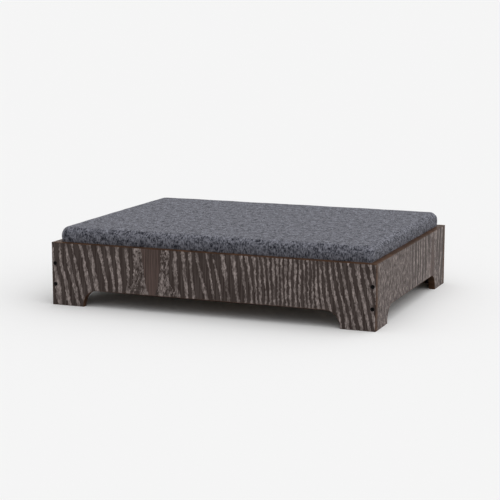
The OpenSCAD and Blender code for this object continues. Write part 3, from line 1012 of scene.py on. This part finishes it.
class DOGBED_OT_edge_bands(bpy.types.Operator):
    """Edge bands on the rims, ends, feet and arches"""

    bl_idname = "dog_bed.edge_bands"
    bl_label = "Edge bands"

    ARC_STEPS = 14

    def execute(self, context):
        build_strip_tree()
        self.material = edge_banding()
        for side in ("front", "back"):
            self.long_panel(side)
        for side in ("left", "right"):
            self.panel_bands(side, 1)
        return {"FINISHED"}

    def band(self, node, paths, along_axis):
        """One band node's strips; each path is a list of (along, up)."""
        low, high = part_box(node)
        middle = (low[1 - along_axis] + high[1 - along_axis]) / 2
        points, edges = chain(paths)
        placed = [(a, middle, z) if along_axis == 0 else (middle, a, z) for a, z in points]
        piece = new_piece(node + "_strip", placed, edges)
        easing = settings("board").band_easing
        draw_strip(piece, PANEL_T, BAND_T, easing, 1 - along_axis, self.material)
        finish_piece(piece, FRAME_BODY, [node], CRISP)

    def panel_bands(self, side, along_axis):
        """Rim, feet and arch of one panel."""
        half = BAND_T / 2
        low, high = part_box(side + "_rim_band")
        start, stop = low[along_axis], high[along_axis]
        self.band(side + "_rim_band", [[(start, high.z - half), (stop, high.z - half)]], along_axis)
        arch_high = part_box(side + "_arch_band")[1]
        opening = arch_high[along_axis]
        feet = [[(start, half), (-opening, half)], [(opening, half), (stop, half)]]
        self.band(side + "_foot_bands", feet, along_axis)
        reach = opening - half
        top = arch_high.z - half
        radius = top - ARCH_DROP
        turns = [math.pi / 2 * i / self.ARC_STEPS for i in range(self.ARC_STEPS + 1)]
        arc = [(radius - radius * math.cos(turn), ARCH_DROP + radius * math.sin(turn)) for turn in turns]
        left = [(-reach, 0.0)] + [(-reach + across, up) for across, up in arc]
        right = [(-along, up) for along, up in reversed(left)]
        self.band(side + "_arch_band", [left + right], along_axis)

    def long_panel(self, side):
        """A long panel also has bands on its two ends."""
        self.panel_bands(side, 0)
        node = side + "_end_bands"
        low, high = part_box(node)
        inset = FRAME_HALF_X - BAND_T / 2
        self.band(node, [[(end, low.z), (end, high.z)] for end in (-inset, inset)], 0)


class DOGBED_OT_screws(bpy.types.Operator):
    """Corner screws with a hexagon socket, and the small countersunk screws"""

    bl_idname = "dog_bed.screws"
    bl_label = "Screws"

    def execute(self, context):
        build_screw_tree()
        timber = settings("timber")
        black = screw_metal("blackened_steel", timber.screw_black, 0.55, bare=0.0, gloss=0.08)
        zinc = screw_metal("zinc_steel", timber.screw_zinc, 0.28)
        corner = self.screw("corner_screw_shape", "front_corner_screws", self.hexagon, 0.42)
        for node in ("front_corner_screws", "back_corner_screws"):
            self.place(node, corner, self.outward, black, "black_screw")
        for node, facing in (
            ("cleat_screws", self.inward),
            ("base_board_screws", self.upward),
            ("rail_screws", self.upward),
        ):
            small = self.screw(node + "_shape", node, self.cross, 0.5)
            self.place(node, small, facing, zinc, "zinc_screw")
            discard(small)
        discard(corner)
        return {"FINISHED"}

    def hexagon(self, angle):
        return 1.0 / math.cos((angle % (TURN / 6)) - TURN / 12)

    def cross(self, angle):
        """Two crossed bars, about three times as long as they are wide."""
        across, up = max(abs(math.cos(angle)), TINY), max(abs(math.sin(angle)), TINY)
        return max(min(1.0 / across, 0.3 / up), min(1.0 / up, 0.3 / across))

    def outward(self, box):
        """Corner screws face away from the middle, to the front or the back."""
        return Vector((0, math.copysign(1, box[0].y), 0))

    def inward(self, box):
        """Cleat screws are driven from inside, so their heads face the middle."""
        low, high = box
        axis = 0 if high.x - low.x > high.y - low.y else 1
        facing = Vector()
        facing[axis] = -math.copysign(1, low[axis])
        return facing

    def upward(self, _):
        return Vector((0, 0, 1))

    def screw(self, name, node, outline, socket_share):
        """A screw along Z with its head's face at the origin, as long and as wide as the node's first one.
        Its parts are shares of the head's radius."""
        low, high = solids_of(node)[0]
        size = sorted(high - low)
        head, long = size[1] / 2, size[2]
        core, thread = 0.42 * head, 0.58 * head
        neck, point = -0.95 * head, -long + 1.6 * head
        pitch = 0.5 * head
        rings = [(0.1 * core, -long), (core, point)]
        count = int((neck - 0.3 * head - point) / pitch)
        for i in range(count):
            rings += [(core, point + (i + 0.1) * pitch), (thread, point + (i + 0.5) * pitch)]
        rings += [(core, point + count * pitch), (1.1 * core, neck), (0.93 * head, -0.14 * head)]
        rings += [(0.985 * head, -0.08 * head), (head, -0.04 * head), (0.965 * head, 0.0)]
        socket = socket_share * head
        rings += [(1.08 * socket, 0.0, True), (socket, -0.04 * head, True)]
        rings += [(0.92 * socket, -0.5 * head, True), (0.3 * socket, -0.55 * head)]
        return lathe(name, rings, 24, outline)

    def place(self, node, shape, facing, material, slot):
        """One screw for each of the node's solids, with its head's face on that solid's box."""
        boxes = solids_of(node)
        ways = [facing(box) for box in boxes]
        heads = []
        for (low, high), way in zip(boxes, ways):
            middle, half = (low + high) / 2, (high - low) / 2
            heads.append(middle + Vector([way[i] * half[i] for i in range(3)]))
        piece = new_piece(node + "_set", heads)
        attribute = piece.data.attributes.new("facing", "FLOAT_VECTOR", "POINT")
        attribute.data.foreach_set("vector", [part for way in ways for part in way])
        grow(piece, "Screws At Points", {"Screw": shape, "Material": material})
        finish_piece(piece, FRAME_BODY, [node], math.radians(35))


class DOGBED_OT_base(bpy.types.Operator):
    """Pine cleats and rail, and the fibre boards that carry the mattress"""

    bl_idname = "dog_bed.base"
    bl_label = "Cleats, rail and base boards"

    def execute(self, context):
        build_sawn_grain()
        for number, node in enumerate(("front_cleat", "back_cleat")):
            paint_node(node, pine("pine_" + node, 0, 3.0 * number))
        for number, node in enumerate(("left_cleat", "right_cleat", "centre_rail")):
            paint_node(node, pine("pine_" + node, 1, 10.0 + 3.0 * number))
        board = fibre_board()
        paint_node("left_base_board", board)
        paint_node("right_base_board", board)
        return {"FINISHED"}


class DOGBED_OT_mattress(bpy.types.Operator):
    """Foam mattress in its woven cover"""

    bl_idname = "dog_bed.mattress"
    bl_label = "Mattress"

    # the cover: radii of its edges, and how far it stands past its CAD box and past the frame
    EDGE_R = 8 * MM
    PROUD = 3.2 * MM
    UPRIGHT_R = 6 * MM
    UNDER_R = 2.5 * MM
    START_INSET = 1.0 * MM
    BULGE = 4.0 * MM
    CLEARANCE = 0.4 * MM
    # the short tuck under the front edge, near the right corner
    TUCK_DOWN = 9 * MM
    TUCK_FROM = 245 * MM
    TUCK_TO = 345 * MM
    TUCK_HALF = 3 * MM
    TUCK_DEPTH = 2.2 * MM
    # the foam: its gap inside the cloth, and the groove that it leaves for the zipper
    FOAM_GAP = 1.3 * MM
    GROOVE = 3.2 * MM
    # the zipper's slot, the rolled edge round it, and the cloth underneath
    SLOT_INSET = 1.2 * MM
    SLOT_R = 3 * MM
    WELT_DEPTH = 3.2 * MM
    WELT_ROLL = 1.6 * MM
    STITCH_PITCH = 3.1 * MM
    SHEET_INSET = 3 * MM
    SHEET_CORNER = 12 * MM
    SHEET_EDGE_R = 0.4 * MM

    def execute(self, context):
        build_melange_weave()
        mattress = settings("mattress")
        self.cloth = self.heather("heather_cover_cloth", mattress, 3.0, uses_uv=True, warp_share=0.62)
        form = self.swollen(context, mattress)
        self.foam(form, mattress)
        self.cover(form, mattress)
        self.welts(mattress)
        self.stitches(mattress)
        self.base_cloth(mattress)
        return {"FINISHED"}

    def heather(self, name, mattress, seed, **options):
        """The cover's own cloth."""
        dark, light, pitch = mattress.yarn_dark, mattress.yarn_light, mattress.yarn_pitch
        return woven(name, dark, light, pitch, 7.5 * MM, seed, **options)

    def swollen(self, context, mattress):
        """The cover's outside, swollen by its filling and held by the frame."""
        inset = Vector((self.START_INSET, self.START_INSET, 0))
        low = COVER_LOW + inset
        high = COVER_HIGH - inset - Vector((0, 0, self.START_INSET))
        edge_r = self.EDGE_R - self.START_INSET
        form = rounded_box("mattress_form", low, high, edge_r, 5, self.UPRIGHT_R, self.UNDER_R)
        remesh = form.modifiers.new("Even cells", "REMESH")
        remesh.mode = "VOXEL"
        remesh.voxel_size = mattress.voxel
        keep_evaluated(form)
        rest = self.points(form)
        outward = self.normals(form)
        moved = self.simulated(context, form, mattress)
        spots = self.capped(rest, moved, outward, mattress.swell_cap)
        self.put(form, self.fitted(self.squared(spots)))
        smooth = form.modifiers.new("Even out", "SMOOTH")
        smooth.factor = 0.4
        smooth.iterations = 1
        keep_evaluated(form)
        self.put(form, self.fitted(self.points(form)))
        return form

    def capped(self, rest, moved, outward, cap):
        """Keeps what the filling pushed out, up to the cap, but not the drawing-in of the corners."""
        step = moved - rest
        push = (step * outward).sum(axis=1, keepdims=True)
        slip = step - push * outward
        push = cap * np.tanh(np.maximum(push, -0.2 * MM) / cap)
        reach = np.maximum(np.linalg.norm(slip, axis=1, keepdims=True), 1e-9)
        return rest + push * outward + slip * 0.6 * MM * np.tanh(reach / MM) / reach

    def squared(self, spots):
        """Brings edges that were drawn in back out to a box with the cover's own edge radius."""
        local = spots - [0, 0, COVER_LOW.z]
        reach = np.array([COVER_HIGH.x, COVER_HIGH.y, COVER_HIGH.z - COVER_LOW.z]) + self.PROUD
        beyond = np.maximum(np.abs(local) - (reach - self.EDGE_R), 0)
        depth = np.linalg.norm(beyond, axis=1, keepdims=True)
        short = np.where(depth > 0, np.maximum(self.EDGE_R - depth, 0), 0)
        upper = smooth_step(local[:, 2:], 0.5 * MM, 5 * MM)
        return spots + upper * short * np.sign(local) * beyond / np.maximum(depth, 1e-9)

    def vectors(self, items, attribute):
        """One vector of each vertex or face, as rows of an array."""
        values = np.empty(3 * len(items), np.float32)
        items.foreach_get(attribute, values)
        return values.reshape(-1, 3).astype(float)

    def normals(self, piece):
        return self.vectors(piece.data.vertices, "normal")

    def points(self, piece):
        return self.vectors(piece.data.vertices, "co")

    def put(self, piece, spots):
        piece.data.vertices.foreach_set("co", spots.astype(np.float32).ravel())
        piece.data.update()

    def plain_swell(self, rest, low, high, cap):
        across = np.minimum(high.x - np.abs(rest[:, 0]), high.y - np.abs(rest[:, 1]))
        upper = smooth_step(rest[:, 2], high.z - 20 * MM, high.z)
        crown = cap * smooth_step(across, -20 * MM, 120 * MM) * upper
        outward = rest * [1, 1, 0]
        near = np.abs(outward) / [high.x, high.y, 1]
        side = np.where(near > 0.97, np.sign(outward) * cap * 0.8, 0)
        return side + np.column_stack([np.zeros((len(rest), 2)), crown])

    def simulated(self, context, form, mattress):
        """Blows the closed cover up as cloth and gives back where its points went."""
        cloth = form.modifiers.new("Swell", "CLOTH")
        cloth.settings.use_pressure = True
        cloth.settings.uniform_pressure_force = mattress.pressure
        cloth.settings.effector_weights.gravity = 0
        cloth.settings.quality = 5
        cloth.settings.tension_stiffness = 25
        cloth.settings.compression_stiffness = 25
        cloth.settings.shear_stiffness = 12
        cloth.settings.bending_stiffness = 3
        cloth.point_cache.frame_start = 1
        cloth.point_cache.frame_end = mattress.swell_frames
        for number in range(1, mattress.swell_frames + 1):
            context.scene.frame_set(number)
        keep_evaluated(form)
        context.scene.frame_set(1)
        return self.points(form)

    def fitted(self, spots):
        """Holds the cover inside the frame, flat underneath, and lets it stand proud above the rim."""
        free = smooth_step(spots[:, 2], FRAME_TOP - 1 * MM, FRAME_TOP + 10 * MM) * self.BULGE
        for axis, wall in ((0, WELL_HALF_X), (1, WELL_HALF_Y)):
            limit = wall - self.CLEARANCE + free
            spots[:, axis] = np.clip(spots[:, axis], -limit, limit)
        spots[:, 2] = np.maximum(spots[:, 2], COVER_LOW.z)
        return spots

    def foam(self, form, mattress):
        """The filling: the cover's form drawn in by the cloth, with room for the zipper."""
        piece = form.copy()
        piece.data = form.data.copy()
        piece.name = "mattress_foam_block"
        bpy.context.scene.collection.objects.link(piece)
        settle = piece.modifiers.new("Settle", "SMOOTH")
        settle.factor = 0.5
        settle.iterations = 3
        keep_evaluated(piece)
        inside = mattress.cover_t + self.FOAM_GAP
        spots = self.creased(self.points(piece)) - self.normals(piece) * inside
        groove_y = TAPES_LOW.y - self.GROOVE
        foam_back = COVER_HIGH.y - mattress.cover_t - 0.5 * MM
        above = smooth_step(np.abs(spots[:, 2] - ZIP_Z), 11 * MM, 17 * MM)
        beside = smooth_step(np.abs(spots[:, 0]) - TAPES_HIGH.x, 2 * MM, 9 * MM)
        limit = groove_y + (foam_back - groove_y) * np.maximum(above, beside)
        spots[:, 1] = np.minimum(spots[:, 1], limit)
        spots[:, 2] = np.maximum(spots[:, 2], BASE_HIGH.z + 0.2 * MM)
        self.put(piece, spots)
        piece.data.materials.clear()
        piece.data.materials.append(open_cell_foam())
        finish_piece(piece, MATTRESS_BODY, ["mattress_foam"], SOFT)

    def cover(self, form, mattress):
        """The woven shell, open underneath for the base cloth, with the zipper's slot at the back."""
        form.name = "mattress_woven_cover"
        shape = bmesh.new()
        shape.from_mesh(form.data)
        under = [face for face in shape.faces if face.calc_center_median().z < COVER_LOW.z + 0.2 * MM]
        bmesh.ops.delete(shape, geom=under, context="FACES")
        shape.to_mesh(form.data)
        shape.free()
        finer = form.modifiers.new("Finer", "SUBSURF")
        finer.levels = finer.render_levels = 1
        keep_evaluated(form)
        self.put(form, self.creased(self.points(form)))
        wall = form.modifiers.new("Cloth", "SOLIDIFY")
        wall.thickness = mattress.cover_t
        wall.offset = -1
        keep_evaluated(form)
        self.cut_slot(form)
        self.map_cloth(form)
        form.data.materials.clear()
        form.data.materials.append(self.cloth)
        finish_piece(form, MATTRESS_BODY, ["mattress_cover"], SOFT)

    def creased(self, spots):
        """Soft unevenness all over, and the short tuck under the front edge near the right corner."""
        x, y, z = spots.T
        high = smooth_step(z, FRAME_TOP, FRAME_TOP + 15 * MM)
        ripple = np.sin(x * 41 + 3 * np.sin(y * 17)) * np.sin(y * 37 + 2 * np.sin(x * 13))
        spots[:, 2] += 0.35 * MM * high * ripple
        on_front = smooth_step(-y, WELL_HALF_Y - 10 * MM, WELL_HALF_Y - 4 * MM)
        run = smooth_step(x - self.TUCK_FROM, 0, 30 * MM) * smooth_step(self.TUCK_TO - x, 0, 12 * MM)
        fold = np.exp(-(((z - COVER_HIGH.z + self.TUCK_DOWN) / self.TUCK_HALF) ** 2))
        spots[:, 1] += self.TUCK_DEPTH * on_front * run * fold
        return spots

    def cut_slot(self, form):
        """Cuts the opening for the zipper through the back."""
        half_x, half_z = self.slot_half(0)
        low = (-half_x, TAPES_HIGH.y, ZIP_Z - half_z)
        high = (half_x, COVER_HIGH.y + 20 * MM, ZIP_Z + half_z)
        tool = rounded_box("slot_tool", low, high, self.SLOT_R, 4)
        cut = form.modifiers.new("Slot", "BOOLEAN")
        cut.operation = "DIFFERENCE"
        cut.solver = "EXACT"
        cut.object = tool
        keep_evaluated(form)
        discard(tool)

    def map_cloth(self, form):
        """Lays the weave over the top and down each side without a jump, in metres."""
        mesh = form.data
        while mesh.uv_layers:
            mesh.uv_layers.remove(mesh.uv_layers[0])
        cloth_map = mesh.uv_layers.new(name=CLOTH_MAP)
        spots = self.points(form)
        corner = np.empty(len(mesh.loops), np.int32)
        mesh.loops.foreach_get("vertex_index", corner)
        count = np.empty(len(mesh.polygons), np.int32)
        mesh.polygons.foreach_get("loop_total", count)
        centre = np.repeat(self.vectors(mesh.polygons, "center"), count, axis=0)
        at = spots[corner]
        drop = np.maximum(COVER_HIGH.z - at[:, 2], 0)
        on_end = (COVER_HIGH.x - np.abs(centre[:, 0])) < (COVER_HIGH.y - np.abs(centre[:, 1]))
        across = at[:, 0] + np.where(on_end, np.sign(centre[:, 0]) * drop, 0)
        along = at[:, 1] + np.where(on_end, 0, np.sign(centre[:, 1]) * drop)
        cloth_map.data.foreach_set("uv", np.column_stack([across, along]).astype(np.float32).ravel())

    def slot_half(self, grown):
        """Half the length and height of the zipper's slot, grown by the given margin."""
        tall = (TAPES_HIGH.z - TAPES_LOW.z) / 2
        return TAPES_HIGH.x - self.SLOT_INSET + grown, tall - self.SLOT_INSET + grown

    def slot_path(self, grown):
        """The outline of the zipper's slot at the back, grown by the given margin, as a closed loop."""
        half_x, half_z = self.slot_half(grown)
        radius, steps = self.SLOT_R + grown, 5
        path = []
        for quarter, (side_x, side_z) in enumerate(((1, 1), (-1, 1), (-1, -1), (1, -1))):
            for i in range(steps + 1):
                angle = (quarter + i / steps) * math.pi / 2
                x = side_x * (half_x - radius) + radius * math.cos(angle)
                path.append((x, ZIP_Z + side_z * (half_z - radius) + radius * math.sin(angle)))
        return path

    def welts(self, mattress):
        """The rolled edge of cloth round the zipper's slot."""
        middle_y = COVER_HIGH.y - self.WELT_DEPTH / 2 + 0.2 * MM
        points = [(x, middle_y, z) for x, z in self.slot_path(0.1 * MM)]
        piece = new_piece("mattress_zip_welt", points, closed(points))
        cloth = self.heather("heather_welt_cloth", mattress, 5.0)
        draw_strip(piece, self.WELT_DEPTH, self.WELT_ROLL, 0.75 * MM, 1, cloth, smooth=True)
        finish_piece(piece, MATTRESS_BODY, smooth_angle=SOFT)

    def stitches(self, mattress):
        """Top stitching round the slot, and the seam that holds the base cloth."""
        build_row_tree()
        thread = woven("stitch_thread", (0.05, 0.05, 0.06), (0.16, 0.16, 0.18), 0.3 * MM, 2 * MM, 7.0)
        profile = ((0.10, -1.1), (0.24, -0.8), (0.28, 0), (0.24, 0.8), (0.10, 1.1))
        shape = lathe("stitch_shape", [(radius * MM, height * MM) for radius, height in profile], 6)
        shape.data.transform(Matrix.Rotation(math.pi / 2, 4, "Y"))
        seam_x, seam_y = BASE_HIGH.x - 5 * MM, BASE_HIGH.y - 5 * MM
        seam = [(-seam_x, -seam_y), (seam_x, -seam_y), (seam_x, seam_y), (-seam_x, seam_y)]
        slot = self.slot_path(3.2 * MM)
        rows = {
            "mattress_slot_stitches": [(x, WELL_HALF_Y - 0.35 * MM, z) for x, z in slot],
            "mattress_base_stitches": [(x, y, BASE_LOW.z + 0.02 * MM) for x, y in seam],
        }
        for name, points in rows.items():
            piece = new_piece(name, points, closed(points))
            draw_row(piece, shape, self.STITCH_PITCH, thread)
            finish_piece(piece, MATTRESS_BODY, smooth_angle=SOFT)
        discard(shape)

    def base_cloth(self, mattress):
        """The flat cloth that closes the mattress underneath."""
        black = tuple(mattress.base_black)
        pale = tinted(black, 2.2)
        material = woven("base_cloth_weave", black, pale, 0.9 * MM, 4 * MM, 9.0, depth=0.15 * MM)
        margin = Vector((self.SHEET_INSET, self.SHEET_INSET, 0))
        low, high = BASE_LOW + margin, BASE_HIGH - margin
        edge_r = self.SHEET_EDGE_R
        piece = rounded_box("mattress_base_sheet", low, high, edge_r, 4, self.SHEET_CORNER, edge_r)
        piece.data.materials.append(material)
        finish_piece(piece, MATTRESS_BODY, ["mattress_base_cloth"], CRISP)


class DOGBED_OT_zipper(bpy.types.Operator):
    """Zipper at the back of the mattress: tapes, teeth, stops and slider"""

    bl_idname = "dog_bed.zipper"
    bl_label = "Zipper"

    TEETH_PITCH = 2.9 * MM
    TEETH_GAP = 0.45 * MM
    TEETH_END = 0.75 * MM
    TAPE_SLIT = 0.7 * MM
    PLATE_T = 1.2 * MM
    NECK_HALF = 0.35 * MM
    NECK_LONG = 3 * MM
    BAIL_HALF = 3.2 * MM
    BAIL_RISE = 1.0 * MM
    BAIL_STEPS = 12
    PULL_LONG = 13.6 * MM
    PULL_HALF = 2.4 * MM

    def execute(self, context):
        black = tuple(settings("mattress").tape_black)
        self.plastic = teeth_plastic()
        self.metal = screw_metal("zip_dark_metal", (0.20, 0.20, 0.21), 0.3)
        self.tapes(woven("zip_tape_weave", black, tinted(black, 2.4), 0.6 * MM, 2.5 * MM, 11.0))
        self.teeth()
        self.stops()
        self.slider()
        return {"FINISHED"}

    def tapes(self, cloth):
        """A tape on each side of the slit."""
        half = (TAPES_HIGH.z - TAPES_LOW.z) / 2
        slit = self.TAPE_SLIT
        middle_y = (TAPES_LOW.y + TAPES_HIGH.y) / 2
        rows = [ZIP_Z + side * (half + slit) / 2 for side in (-1, 1)]
        paths = [[(TAPES_LOW.x, middle_y, z), (TAPES_HIGH.x, middle_y, z)] for z in rows]
        piece = new_piece("zipper_tape_pair", *chain(paths))
        draw_strip(piece, half - slit, TAPES_HIGH.y - TAPES_LOW.y, 0.3 * MM, 2, cloth)
        finish_piece(piece, MATTRESS_BODY, ["zipper_tapes"], CRISP)

    def tooth(self, flipped):
        """A moulded tooth: a foot on the tape, a waist and a nose towards the slit."""
        sign = -1 if flipped else 1
        reach = TEETH_HIGH.z - ZIP_Z
        outline = [(0.72, 1.0), (0.72, 0.62), (0.42, 0.50), (0.66, 0.30), (0.48, self.TEETH_GAP / reach)]
        outline += [(-across, up) for across, up in reversed(outline)]
        low, high = TEETH_LOW.y, TEETH_HIGH.y
        points = [(across * MM, y, sign * up * reach) for y in (low, high) for across, up in outline]
        count = len(outline)
        faces = [(i, (i + 1) % count, count + (i + 1) % count, count + i) for i in range(count)]
        faces += [tuple(reversed(range(count))), tuple(range(count, 2 * count))]
        if not flipped:
            faces = [tuple(reversed(face)) for face in faces]
        piece = new_piece("tooth_shape", points, faces=faces)
        piece.data.transform(Matrix.Translation((0, -(low + high) / 2, 0)))
        return piece

    def teeth(self):
        """Two rows of teeth that stand a little apart, one shifted by half a pitch."""
        rows = []
        middle_y = (TEETH_LOW.y + TEETH_HIGH.y) / 2
        for flipped in (False, True):
            shift = self.TEETH_PITCH / 2 if flipped else 0.0
            start, stop = TEETH_LOW.x + self.TEETH_END + shift, TEETH_HIGH.x - self.TEETH_END
            row = new_piece("teeth_row", [(start, middle_y, ZIP_Z), (stop, middle_y, ZIP_Z)], [(0, 1)])
            shape = self.tooth(flipped)
            draw_row(row, shape, self.TEETH_PITCH, self.plastic)
            discard(shape)
            rows.append(row)
        piece = joined("zipper_teeth_rows", rows)
        piece.data.materials.append(self.plastic)
        finish_piece(piece, MATTRESS_BODY, ["zipper_teeth"], math.radians(30))

    def metal_set(self, name, parts, body, node):
        """Finishes a metal piece made of several parts."""
        piece = joined(name, parts)
        piece.data.materials.append(self.metal)
        finish_piece(piece, body, [node], CRISP)

    def stops(self):
        """The stops at the two ends of the teeth."""
        parts = [rounded_box("stop", low, high, 0.35 * MM, 2) for low, high in solids_of("zipper_stops")]
        self.metal_set("zipper_stop_pair", parts, MATTRESS_BODY, "zipper_stops")

    def slider(self):
        """Two plates joined by a neck, with a bail and a flat pull that lies in the slot."""
        low, high = SLIDER_LOW, SLIDER_HIGH
        plate, neck = self.PLATE_T, self.NECK_HALF
        middle_x = (low.x + high.x) / 2
        neck_low = (high.x - self.NECK_LONG, low.y + 0.5 * plate, ZIP_Z - neck)
        neck_high = (high.x - 0.3 * MM, high.y - 0.5 * plate, ZIP_Z + neck)
        parts = [
            rounded_box("plate", low, (high.x, low.y + plate, high.z), 0.5 * MM, 3),
            rounded_box("plate", (low.x, high.y - plate, low.z), high, 0.5 * MM, 3),
            rounded_box("neck", neck_low, neck_high, 0.1 * MM, 2),
        ]
        arc = []
        for i in range(self.BAIL_STEPS + 1):
            turn = math.pi * i / self.BAIL_STEPS
            rise = self.BAIL_RISE * math.sin(turn) - 0.2 * MM
            arc.append((middle_x - self.BAIL_HALF * math.cos(turn), high.y + rise, ZIP_Z))
        bail = new_piece("bail", *chain([arc]))
        draw_strip(bail, 1.3 * MM, 0.5 * MM, 0.2 * MM, 2, self.metal)
        pull_x = middle_x + 0.4 * MM
        pull_low = (pull_x, high.y + 0.05 * MM, ZIP_Z - self.PULL_HALF)
        pull_high = (pull_x + self.PULL_LONG, high.y + 0.75 * MM, ZIP_Z + self.PULL_HALF)
        parts += [bail, rounded_box("pull", pull_low, pull_high, 0.3 * MM, 3)]
        self.metal_set("zipper_slider_set", parts, SLIDER_BODY, "zipper_slider")


STEPS = ("stage", "panels", "edge_bands", "screws", "base", "mattress", "zipper")
OPERATORS = (
    DOGBED_OT_stage,
    DOGBED_OT_panels,
    DOGBED_OT_edge_bands,
    DOGBED_OT_screws,
    DOGBED_OT_base,
    DOGBED_OT_mattress,
    DOGBED_OT_zipper,
)
GROUPS = {
    "board": DogBedBoardSettings,
    "timber": DogBedTimberSettings,
    "mattress": DogBedMattressSettings,
    "stage": DogBedStageSettings,
}


class DOGBED_PT_sidebar(bpy.types.Panel):
    """Sizes, colours and the steps that dress the bed"""

    bl_idname = "DOGBED_PT_sidebar"
    bl_label = "Dog Bed"
    bl_space_type = "VIEW_3D"
    bl_region_type = "UI"
    bl_category = "Dog Bed"

    def draw(self, context):
        for group in GROUPS:
            box = self.layout.box()
            values = getattr(context.scene, "dog_bed_" + group)
            for name in type(values).__annotations__:
                box.prop(values, name)
        for operator in OPERATORS:
            self.layout.operator(operator.bl_idname)


def register():
    for group, kind in GROUPS.items():
        bpy.utils.register_class(kind)
        setattr(bpy.types.Scene, "dog_bed_" + group, PointerProperty(type=kind))
    for kind in (*OPERATORS, DOGBED_PT_sidebar):
        bpy.utils.register_class(kind)


def unregister():
    for kind in (DOGBED_PT_sidebar, *reversed(OPERATORS)):
        bpy.utils.unregister_class(kind)
    for group, kind in GROUPS.items():
        delattr(bpy.types.Scene, "dog_bed_" + group)
        bpy.utils.unregister_class(kind)


def main():
    register()
    for step in STEPS:
        getattr(bpy.ops.dog_bed, step)()


if __name__ == "__main__":
    main()
